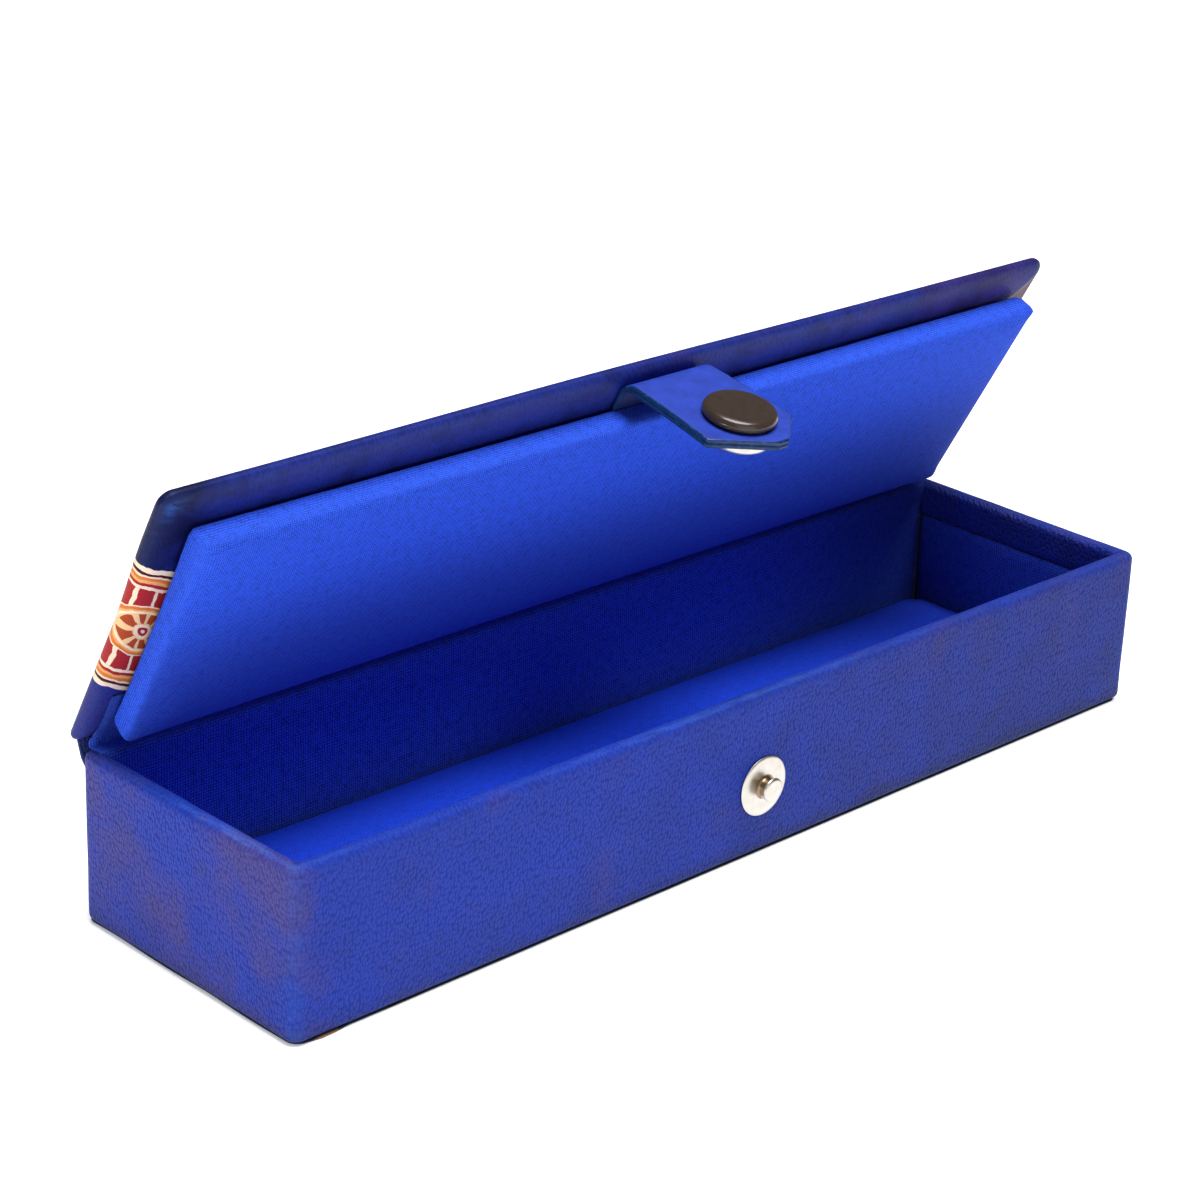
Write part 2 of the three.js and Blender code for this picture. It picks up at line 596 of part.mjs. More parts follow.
// The tongue, drawn straight: bend on the group's X axis, tip towards -Y, cap side up.
function makeStrap() {
  const strap = new THREE.Group();
  strap.position.set(0, -bendReach, bendDrop);
  strap.rotation.x = radians(STRAP_BEND);
  strap.add(piece("strap_face", tonguePly(GLUE_LINE / 2, strapHalf), strapLeather));
  strap.add(piece("strap_backing", tonguePly(-GLUE_LINE / 2, -strapHalf), strapLeather));

  const snap = new THREE.Group();
  snap.position.set(0, -snapReach, 0);
  strap.add(snap);
  const under = strapHalf + GLUE_LINE;
  const top = under + CAP_HEIGHT;
  const cap = turned([
    [0, GLUE_LINE - strapHalf],
    [RIVET_RADIUS, GLUE_LINE - strapHalf],
    [RIVET_RADIUS, under],
    [CAP_RADIUS - CAP_ROUND, under],
    [CAP_RADIUS, under + CAP_ROUND],
    [CAP_RADIUS, under + CAP_RIM],
    [CAP_RADIUS - CAP_ROUND, top - CAP_ROUND],
    [CAP_RADIUS - CAP_SHOULDER, top - CAP_CROWN],
    [0, top],
  ]);
  snap.add(piece("snap_cap", cap, blackEnamel));

  const hole = STUD_POST_RADIUS + SOCKET_GAP;
  const foot = -strapHalf - GLUE_LINE;
  const mouth = foot - SOCKET_HEIGHT;
  const springHeight = (foot + mouth) / 2;
  const springRadius = hole + SPRING_GAP + SPRING_WIRE_RADIUS;
  const groove = SPRING_WIRE_RADIUS + SPRING_GAP;
  const socket = turned([
    [hole, mouth],
    [SOCKET_RADIUS, mouth],
    [SOCKET_RADIUS, foot - SOCKET_FLANGE],
    [SOCKET_FLANGE_RADIUS, foot - SOCKET_FLANGE],
    [SOCKET_FLANGE_RADIUS, foot],
    [hole, foot],
    [hole, springHeight + groove],
    [springRadius + groove, springHeight + groove],
    [springRadius + groove, springHeight - groove],
    [hole, springHeight - groove],
    [hole, mouth],
  ]);
  snap.add(piece("snap_socket", socket, nickel));

  const wire = new THREE.Shape();
  for (let k = 0; k < WIRE_SIDES; k++) {
    const angle = (k / WIRE_SIDES) * 2 * Math.PI;
    const place = [SPRING_WIRE_RADIUS * Math.cos(angle), SPRING_WIRE_RADIUS * Math.sin(angle)];
    if (k === 0) wire.moveTo(...place);
    else wire.lineTo(...place);
  }
  const gapAngle = radians(SPRING_OPENING) / 2;
  const bow = [];
  for (let k = 0; k <= SPRING_STEPS; k++) {
    const angle = gapAngle + (k / SPRING_STEPS) * 2 * (Math.PI - gapAngle);
    const x = springRadius * Math.sin(angle);
    const y = -springRadius * Math.cos(angle);
    bow.push(new THREE.Vector3(x, y, springHeight));
  }
  const spring = new THREE.ExtrudeGeometry(wire, {
    steps: SPRING_STEPS,
    extrudePath: new THREE.CatmullRomCurve3(bow),
  });
  snap.add(piece("socket_spring", closedSurface(spring), nickel));
  return strap;
}

const pencilBox = new THREE.Group();
makeBoards(pencilBox);
makeBoxLeather(pencilBox);
makeLinings(pencilBox);
makeBasePad(pencilBox);
makeStud(pencilBox);
const lid = makeLid();
makeLidPad(lid);
lid.add(makeStrap());
pencilBox.add(lid);

export default pencilBox;
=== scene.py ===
"""A leather-covered pencil box: padded hinged lid, cloth lining and a strap with a snap fastener.

The box's boards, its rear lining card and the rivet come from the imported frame. Leather, covered cards,
pads, lid, strap and fastener are modelled here around them. Sizes are in millimetres, in the frame's
axes: +X along the box, -Y out of the front wall and +Z up. Meshes are written in metres.
"""

import json
import logging
import math
from dataclasses import dataclass, field
from enum import Enum
from typing import Any, Sequence

import bmesh
import bpy
import numpy as np
from bpy.types import Material, Mesh, Node, NodeSocket, NodeTree, Object
from mathutils import Matrix, Vector, noise


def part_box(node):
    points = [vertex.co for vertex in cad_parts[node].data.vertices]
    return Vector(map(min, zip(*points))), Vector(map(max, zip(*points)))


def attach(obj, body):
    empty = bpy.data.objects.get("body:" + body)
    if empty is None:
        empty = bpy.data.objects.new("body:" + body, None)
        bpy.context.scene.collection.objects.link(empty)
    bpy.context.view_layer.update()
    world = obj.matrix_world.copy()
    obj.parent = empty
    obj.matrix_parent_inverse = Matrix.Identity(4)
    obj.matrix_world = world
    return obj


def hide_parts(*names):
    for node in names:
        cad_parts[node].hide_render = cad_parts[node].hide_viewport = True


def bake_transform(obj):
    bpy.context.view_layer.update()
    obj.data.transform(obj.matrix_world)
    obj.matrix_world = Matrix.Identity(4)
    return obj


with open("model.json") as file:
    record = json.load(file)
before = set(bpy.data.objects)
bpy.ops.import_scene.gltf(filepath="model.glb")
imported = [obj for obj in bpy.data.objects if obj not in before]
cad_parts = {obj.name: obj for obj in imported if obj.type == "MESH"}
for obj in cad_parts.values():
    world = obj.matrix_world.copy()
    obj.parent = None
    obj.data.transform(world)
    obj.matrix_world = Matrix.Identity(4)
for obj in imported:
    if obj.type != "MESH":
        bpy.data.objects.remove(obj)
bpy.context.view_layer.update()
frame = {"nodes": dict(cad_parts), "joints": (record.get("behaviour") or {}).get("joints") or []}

MM = 0.001
LID_OPEN = 61.8  # degrees from closed, as the lid stands
STRAP_BEND = 74.5  # degrees between the strap's tongue and the lid's plane
LEATHER = 0.7
GLUE = 0.1
LEATHER_IOR = 1.48
POLE = 0.05  # radius of the small flat at the poles of turned pieces

log = logging.getLogger("pencil_box")


class Body(Enum):
    """The bodies that pieces ride on."""

    BOX = "box"
    LID = "lid"
    STRAP = "strap"


class Slot(Enum):
    """The record's finishes."""

    BOARD = "grey_board"
    WALL = "wall_leather"
    LID = "lid_leather"
    STRAP = "strap_leather"
    BOTTOM = "bottom_leather"
    COTTON = "cotton"
    NICKEL = "nickel"
    ENAMEL = "black_enamel"


def linear(colour: str) -> tuple[float, float, float, float]:
    """Turns an sRGB hex colour into linear light.

    Args:
        colour: six hex digits after a hash sign.

    Returns:
        Red, green, blue and an alpha of 1.
    """
    shares = [int(colour[i : i + 2], 16) / 255 for i in (1, 3, 5)]
    light = [c / 12.92 if c <= 0.04045 else ((c + 0.055) / 1.055) ** 2.4 for c in shares]
    return (*light, 1.0)


def feed(tree: NodeTree, node: Node, inputs: dict[str | int, Any]) -> None:
    """Sets or links a node's inputs.

    Args:
        tree: the node tree.
        node: the node.
        inputs: a value, another node or one of its outputs, for each named or numbered input.
    """
    for key, value in inputs.items():
        if isinstance(value, Node):
            value = next(output for output in value.outputs if output.enabled)
        if isinstance(value, NodeSocket):
            tree.links.new(value, node.inputs[key])
        else:
            node.inputs[key].default_value = value


def add_node(
    tree: NodeTree, kind: str, inputs: dict[str | int, Any] | None = None, **settings: Any
) -> Node:
    """Adds one node with its settings and links.

    Args:
        tree: the node tree.
        kind: Blender's name for the node.
        inputs: a value, another node or one of its outputs, for each named or numbered input.
        settings: the node's own properties.

    Returns:
        The new node.
    """
    node = tree.nodes.new(kind)
    for name, value in settings.items():
        setattr(node, name, value)
    feed(tree, node, inputs or {})
    return node


def span(node: str) -> tuple[np.ndarray, np.ndarray]:
    """The lowest and highest corner of a CAD node, in millimetres."""
    low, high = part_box(node)
    return np.array(low) / MM, np.array(high) / MM


def joint_place(name: str) -> np.ndarray:
    """The (y, z) of a joint's axis, in millimetres."""
    found = next(j for j in frame["joints"] if j["name"] == name)
    return np.array(found["pos_m"][1:]) / MM


@dataclass(frozen=True)
class Swing:
    """A plane that turns about an axis along X: a runs out from the axis and u stands off the plane."""

    pivot: np.ndarray
    along: np.ndarray
    off: np.ndarray

    def place(self, x: Any, a: Any, u: Any) -> np.ndarray:
        """Puts points of the plane in the frame.

        Args:
            x: places along the axis.
            a: distances from the axis.
            u: distances off the plane.

        Returns:
            Points, with a last axis of three.
        """
        x, a, u = np.broadcast_arrays(np.asarray(x, float), np.asarray(a, float), np.asarray(u, float))
        y = self.pivot[0] + a * self.along[0] + u * self.off[0]
        z = self.pivot[1] + a * self.along[1] + u * self.off[1]
        return np.stack([x, y, z], axis=-1)


def lid_plane() -> Swing:
    """The lid's plane: a towards its free edge, u out of its outer face."""
    turn = math.radians(LID_OPEN)
    along = np.array([-math.cos(turn), math.sin(turn)])
    off = np.array([math.sin(turn), math.cos(turn)])
    return Swing(joint_place("lid_hinge"), along, off)


def tongue_plane() -> Swing:
    """The strap's tongue: a towards its tip, u out of its face with the cap."""
    lid = lid_plane()
    bend = math.radians(STRAP_BEND)
    along = math.cos(bend) * lid.along - math.sin(bend) * lid.off
    off = math.sin(bend) * lid.along + math.cos(bend) * lid.off
    return Swing(joint_place("strap_hinge"), along, off)


def mesh_points(mesh: Mesh) -> np.ndarray:
    """The points of a mesh, one a row."""
    flat = np.empty(len(mesh.vertices) * 3)
    mesh.vertices.foreach_get("co", flat)
    return flat.reshape(-1, 3)


def span_in(plane: Swing, node: str) -> tuple[np.ndarray, np.ndarray]:
    """The lowest and highest (a, u) of a CAD node in a plane, in millimetres."""
    flat = mesh_points(frame["nodes"][node].data)[:, 1:] / MM - plane.pivot
    both = np.column_stack([flat @ plane.along, flat @ plane.off])
    return both.min(axis=0), both.max(axis=0)


def span_of_lid() -> tuple[float, float, float, float]:
    """The lid leather in the lid's plane: inner u, outer u, hinge edge and free edge."""
    low, high = span_in(lid_plane(), "lid_leather")
    return low[1], high[1], low[0], high[0]


def ripple(points: np.ndarray, wavelength: float, seed: int) -> np.ndarray:
    """Smooth unevenness of hand work, from -1 to 1.

    Args:
        points: places in millimetres, with a last axis of three.
        wavelength: distance between swells in millimetres.
        seed: which unevenness.

    Returns:
        One value for each point.
    """
    flat = points.reshape(-1, 3) / wavelength + 17.3 * seed
    values = [noise.noise(Vector(p)) for p in flat]
    return np.array(values).reshape(points.shape[:-1])


def smooth_step(low: float, high: float, value: np.ndarray) -> np.ndarray:
    """A smooth rise from 0 at low to 1 at high."""
    share = np.clip((value - low) / (high - low), 0, 1)
    return share * share * (3 - 2 * share)


def arc(centre: Sequence[float], radius: float, start: float, stop: float, steps: int) -> np.ndarray:
    """Points on an arc.

    Args:
        centre: its two coordinates.
        radius: its radius.
        start: first angle in degrees.
        stop: last angle in degrees.
        steps: how many steps.

    Returns:
        steps + 1 points.
    """
    turn = np.radians(np.linspace(start, stop, steps + 1))
    return np.stack([centre[0] + radius * np.cos(turn), centre[1] + radius * np.sin(turn)], axis=1)


def straight(start: Sequence[float], stop: Sequence[float], steps: int) -> np.ndarray:
    """The points inside and at the end of a straight line, without its first."""
    share = np.linspace(0, 1, steps + 1)[1:, None]
    return np.asarray(start, float) + share * (np.asarray(stop, float) - np.asarray(start, float))


def lengths(path: np.ndarray) -> np.ndarray:
    """The distance along a path of points, from 0."""
    steps = np.linalg.norm(np.diff(path, axis=0), axis=1)
    return np.concatenate([[0], np.cumsum(steps)])


def offset(path: np.ndarray, distance: float | np.ndarray) -> np.ndarray:
    """A flat path moved to its left.

    Args:
        path: points in a plane.
        distance: how far, one for all or one a point.

    Returns:
        As many points.
    """
    heading = np.gradient(path, axis=0)
    heading /= np.linalg.norm(heading, axis=1)[:, None]
    left = np.stack([-heading[:, 1], heading[:, 0]], axis=1)
    return path + left * np.broadcast_to(distance, len(path))[:, None]


@dataclass(frozen=True)
class RingSteps:
    """How finely a rounded rectangle is divided."""

    long: int = 72
    short: int = 20
    corner: int = 7


def ring(
    half_x: float, half_y: float, radius: float, steps: RingSteps, front_radius: float | None = None
) -> np.ndarray:
    """A rounded rectangle, anticlockwise from its rear left corner.

    Args:
        half_x: half its length.
        half_y: half its depth.
        radius: its corner radius.
        steps: how finely it is divided.
        front_radius: the radius of the two corners at -Y, where it differs.

    Returns:
        Points in a plane, the same count for any size.
    """
    front = radius if front_radius is None else front_radius
    corners = [(-1, 1, radius, 90), (-1, -1, front, 180), (1, -1, front, 270), (1, 1, radius, 360)]
    bends = [
        arc((sx * (half_x - r), sy * (half_y - r)), r, turn, turn + 90, steps.corner)
        for sx, sy, r, turn in corners
    ]
    points = []
    for k, bend in enumerate(bends):
        count = steps.short if k % 2 == 0 else steps.long
        points += [bend, straight(bend[-1], bends[(k + 1) % 4][0], count)[:-1]]
    return np.concatenate(points)


def rings(
    half: Sequence[float], profile: Sequence[Sequence[float]], corner: float, least: float,
    steps: RingSteps,
) -> np.ndarray:
    """Rounded rectangles, one for each inset and height of a profile.

    Args:
        half: half the length and half the depth of the outline.
        profile: insets and heights.
        corner: the outline's corner radius.
        least: the smallest corner radius.
        steps: how finely they are divided.

    Returns:
        Rows of points, one a rectangle.
    """
    rows = []
    for inset, z in profile:
        loop = ring(half[0] - inset, half[1] - inset, max(corner - inset, least), steps)
        rows.append(np.column_stack([loop, np.full(len(loop), z)]))
    return np.array(rows)


def drawn_out(line: np.ndarray, ends: np.ndarray, columns: int) -> np.ndarray:
    """A line in (y, z) drawn out along X to a surface.

    Args:
        line: its points.
        ends: how far each point is drawn out to both sides.
        columns: how many points across.

    Returns:
        Rows of points, one a point of the line.
    """
    x = ends[:, None] * np.linspace(-1, 1, columns)
    y, z = (np.repeat(line[:, i : i + 1], columns, axis=1) for i in (0, 1))
    return np.stack([x, y, z], axis=-1)


def on_both(values: np.ndarray) -> np.ndarray:
    """The marks of a sheet's grid, for both of its faces."""
    rows = values.reshape(-1, *values.shape[2:])
    return np.concatenate([rows, rows])


def skin(grid: np.ndarray, loop_rows: bool) -> tuple[np.ndarray, list[list[int]]]:
    """A surface through closed rings, joined last to first or capped at both ends.

    Args:
        grid: rings of points, all with the same count.
        loop_rows: whether the last ring joins the first.

    Returns:
        Its points and faces.
    """
    rows, cols = grid.shape[:2]
    faces = []
    for i in range(rows if loop_rows else rows - 1):
        here, there = i * cols, ((i + 1) % rows) * cols
        for j in range(cols):
            k = (j + 1) % cols
            faces.append([here + j, here + k, there + k, there + j])
    if not loop_rows:
        faces.append(list(range(cols))[::-1])
        faces.append(list(range((rows - 1) * cols, rows * cols)))
    return grid.reshape(-1, 3), faces


def sheet_solid(top: np.ndarray, under: np.ndarray) -> tuple[np.ndarray, list[list[int]]]:
    """A thin closed solid between two grids of points.

    Args:
        top: rows of points of one face.
        under: the same of the other face.

    Returns:
        Its points and faces.
    """
    rows, cols = top.shape[:2]
    below = rows * cols
    faces = []
    for i in range(rows - 1):
        for j in range(cols - 1):
            a, b = i * cols + j, (i + 1) * cols + j
            faces.append([a, a + 1, b + 1, b])
            faces.append([below + a, below + b, below + b + 1, below + a + 1])
    border = list(range(cols))
    border += [i * cols + cols - 1 for i in range(1, rows)]
    border += [(rows - 1) * cols + j for j in range(cols - 2, -1, -1)]
    border += [i * cols for i in range(rows - 2, 0, -1)]
    for a, b in zip(border, border[1:] + border[:1]):
        faces.append([b, a, below + a, below + b])
    return np.concatenate([top.reshape(-1, 3), under.reshape(-1, 3)]), faces


class Finish:
    """One material, made once and shared."""

    name: str

    def material(self) -> Material:
        """The Blender material of this finish."""
        found = bpy.data.materials.get(self.name)
        if found:
            return found
        made = bpy.data.materials.new(self.name)
        made.use_nodes = True
        tree = made.node_tree
        tree.nodes.clear()
        shader = add_node(tree, "ShaderNodeBsdfPrincipled")
        add_node(tree, "ShaderNodeOutputMaterial", {"Surface": shader.outputs["BSDF"]})
        self.paint(tree, shader)
        return made

    def paint(self, tree: NodeTree, shader: Node) -> None:
        """Sets the shader's sockets and links its patterns.

        Args:
            tree: the material's node tree.
            shader: its principled shader.
        """
        raise NotImplementedError


def make_piece(
    name: str,
    points: np.ndarray,
    faces: Sequence[Sequence[int]],
    finish: Finish,
    marks: dict[str, np.ndarray] | None = None,
) -> Object:
    """Makes a smooth mesh object.

    Args:
        name: the piece's name.
        points: its points in millimetres.
        faces: the point numbers of each face.
        finish: its material.
        marks: a number or a vector for each point, by attribute name.

    Returns:
        The object, at the frame's origin.
    """
    mesh = bpy.data.meshes.new(name)
    mesh.from_pydata((np.asarray(points) * MM).tolist(), [], [list(f) for f in faces])
    shape = bmesh.new()
    shape.from_mesh(mesh)
    bmesh.ops.recalc_face_normals(shape, faces=shape.faces)
    shape.to_mesh(mesh)
    shape.free()
    mesh.shade_smooth()
    for mark, values in (marks or {}).items():
        put_mark(mesh, mark, values)
    made = bpy.data.objects.new(name, mesh)
    bpy.context.scene.collection.objects.link(made)
    mesh.materials.append(finish.material())
    return made


def put_mark(mesh: Mesh, mark: str, values: np.ndarray) -> None:
    """Writes a number or a vector for each point of a mesh.

    Args:
        mesh: the mesh.
        mark: the attribute's name.
        values: one row a point.
    """
    values = np.asarray(values, np.float32)
    kind, key = ("FLOAT", "value") if values.ndim == 1 else ("FLOAT_VECTOR", "vector")
    layer = mesh.attributes.new(mark, kind, "POINT")
    layer.data.foreach_set(key, values.ravel())


def seat(piece: Object, body: Body, slot: Slot, *nodes: str) -> Object:
    """Lets a piece ride on a body in place of CAD nodes.

    Args:
        piece: the piece.
        body: what it rides on.
        slot: not used.
        nodes: the CAD nodes that it stands for.

    Returns:
        The piece.
    """
    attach(piece, body.value)
    if nodes:
        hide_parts(*nodes)
    log.info("%s rides on %s", piece.name, body.value)
    return piece


def hinge_piece(
    piece: Object, bodies: tuple[Body, Body], ends: tuple[Any, Any], slot: Slot, *nodes: str
) -> Object:
    """Bakes a piece's placement into its mesh and hides the CAD nodes that it stands for.

    Args:
        piece: the piece.
        bodies: not used.
        ends: not used.
        slot: not used.
        nodes: the CAD nodes that it stands for.

    Returns:
        The piece.
    """
    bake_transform(piece)
    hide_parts(*nodes)
    return piece


@dataclass(frozen=True)
class Goatskin(Finish):
    """Goatskin, dyed with a brush: small upright pebbles, cloudy dye and pale rubbed edges, darkened by
    painted shade where its marks ask.
    """

    name: str = "goatskin_brush_dyed"
    dye: str = "#1a39ac"
    cloud: str = "#443f8e"
    # dull: the darker dye of the smears, and also the colour of the painted shade
    dull: str = "#1e2b68"
    rubbed: str = "#4677d6"
    valley: str = "#0f1a66"
    pebble_width: float = 0.55
    pebble_height: float = 0.88
    merge: float = 0.12  # how far neighbouring pebbles run together
    scatter: float = 0.85
    crease: float = 0.44  # how strongly the creases are darkened
    pore: float = 0.3
    cloud_size: float = 24
    streak: float = 1.2  # how far the dye was smeared
    rub_size: float = 1.0
    relief: float = 0.2
    roughness: float = 0.55
    shine: float = 0.16

    def hide(self, tree: NodeTree) -> tuple[Node, Node]:
        """Draws the skin, darkened by painted shade where its marks ask.

        Args:
            tree: the material's node tree.

        Returns:
            Its colour and its height.
        """
        place = add_node(tree, "ShaderNodeAttribute", attribute_name="hide").outputs["Vector"]
        upright = add_node(
            tree, "ShaderNodeMapping",
            {"Vector": place,
             "Scale": (1 / (self.pebble_width * MM), 1 / (self.pebble_height * MM), 1.0)},
        )
        pebbles = add_node(
            tree, "ShaderNodeTexVoronoi",
            {"Vector": upright, "Scale": 1.0, "Smoothness": self.merge,
             "Randomness": self.scatter},
            feature="SMOOTH_F1", voronoi_dimensions="2D",
        )
        raised = add_node(
            tree, "ShaderNodeMapRange",
            {"Value": pebbles.outputs["Distance"], "From Min": 0.2, "From Max": 0.75, "To Min": 1.0,
             "To Max": 0.0},
        )
        pores = add_node(
            tree, "ShaderNodeTexNoise", {"Vector": place, "Scale": 1 / (self.pore * MM), "Detail": 3.0}
        )
        height = add_node(
            tree, "ShaderNodeMath", {0: pores, 1: 0.5, 2: raised}, operation="MULTIPLY_ADD"
        )
        clouds = add_node(
            tree, "ShaderNodeTexNoise",
            {"Vector": place, "Scale": 1 / (self.cloud_size * MM), "Detail": 4.0, "Roughness": 0.6},
        )
        violet = add_node(tree, "ShaderNodeAttribute", attribute_name="violet").outputs["Fac"]
        cloudy = add_node(
            tree, "ShaderNodeMath", {0: clouds, 1: 3.0, 2: violet}, operation="MULTIPLY_ADD"
        )
        drift = add_node(
            tree, "ShaderNodeMapRange", {"Value": cloudy, "From Min": 1.5, "From Max": 2.25},
            interpolation_type="SMOOTHSTEP",
        )
        fresh = add_node(
            tree, "ShaderNodeMix",
            {"Factor": drift, "A": linear(self.dye), "B": linear(self.cloud)}, data_type="RGBA",
        )
        # painted shade: a mark that darkens the skin towards the dull colour, added to the dye's smears
        painted_shade = add_node(tree, "ShaderNodeAttribute", attribute_name="painted_shade").outputs["Fac"]
        streaks = add_node(
            tree, "ShaderNodeTexNoise",
            {"Vector": place, "Scale": 1 / (0.4 * self.cloud_size * MM), "Detail": 5.0, "Roughness": 0.65},
        )
        smear_plus_shade = add_node(
            tree, "ShaderNodeMath", {0: streaks, 1: self.streak, 2: painted_shade}, operation="MULTIPLY_ADD"
        )
        usual = self.streak / 2
        smear_and_shade = add_node(
            tree, "ShaderNodeMapRange",
            {"Value": smear_plus_shade, "From Min": usual - 0.1, "From Max": usual + 0.9},
        )
        dyed = add_node(
            tree, "ShaderNodeMix",
            {"Factor": smear_and_shade, "A": fresh, "B": linear(self.dull)},
            data_type="RGBA",
        )
        deep = add_node(
            tree, "ShaderNodeMapRange", {"Value": raised, "To Min": self.crease, "To Max": 0.0}
        )
        settled = add_node(
            tree, "ShaderNodeMix",
            {"Factor": deep, "A": dyed, "B": linear(self.valley)},
            data_type="RGBA",
        )
        wear = add_node(tree, "ShaderNodeAttribute", attribute_name="wear").outputs["Fac"]
        smudge = add_node(
            tree, "ShaderNodeMapping",
            {"Vector": place, "Scale": (1 / (5 * self.rub_size * MM), 1 / (self.rub_size * MM), 1.0)},
        )
        scuffs = add_node(tree, "ShaderNodeTexNoise", {"Vector": smudge, "Scale": 1.0, "Detail": 5.0})
        patchy = add_node(
            tree, "ShaderNodeMapRange", {"Value": scuffs, "From Min": 0.3, "From Max": 0.75}
        )
        rub = add_node(tree, "ShaderNodeMath", {0: patchy, 1: wear}, operation="MULTIPLY")
        worn = add_node(
            tree, "ShaderNodeMix",
            {"Factor": rub, "A": settled, "B": linear(self.rubbed)},
            data_type="RGBA",
        )
        return worn, height

    def paint(self, tree: NodeTree, shader: Node) -> None:
        """Half-matt skin with creased relief."""
        colour, height = self.hide(tree)
        relief = add_node(
            tree, "ShaderNodeBump", {"Height": height, "Strength": 0.95, "Distance": self.relief * MM}
        )
        gloss = add_node(
            tree, "ShaderNodeMapRange",
            {"Value": height, "From Max": 1.5, "To Min": self.roughness + 0.12,
             "To Max": self.roughness - 0.08},
        )
        feed(tree, shader, {
            "Base Color": colour, "Normal": relief, "Roughness": gloss,
            "IOR": LEATHER_IOR, "Specular IOR Level": self.shine,
        })


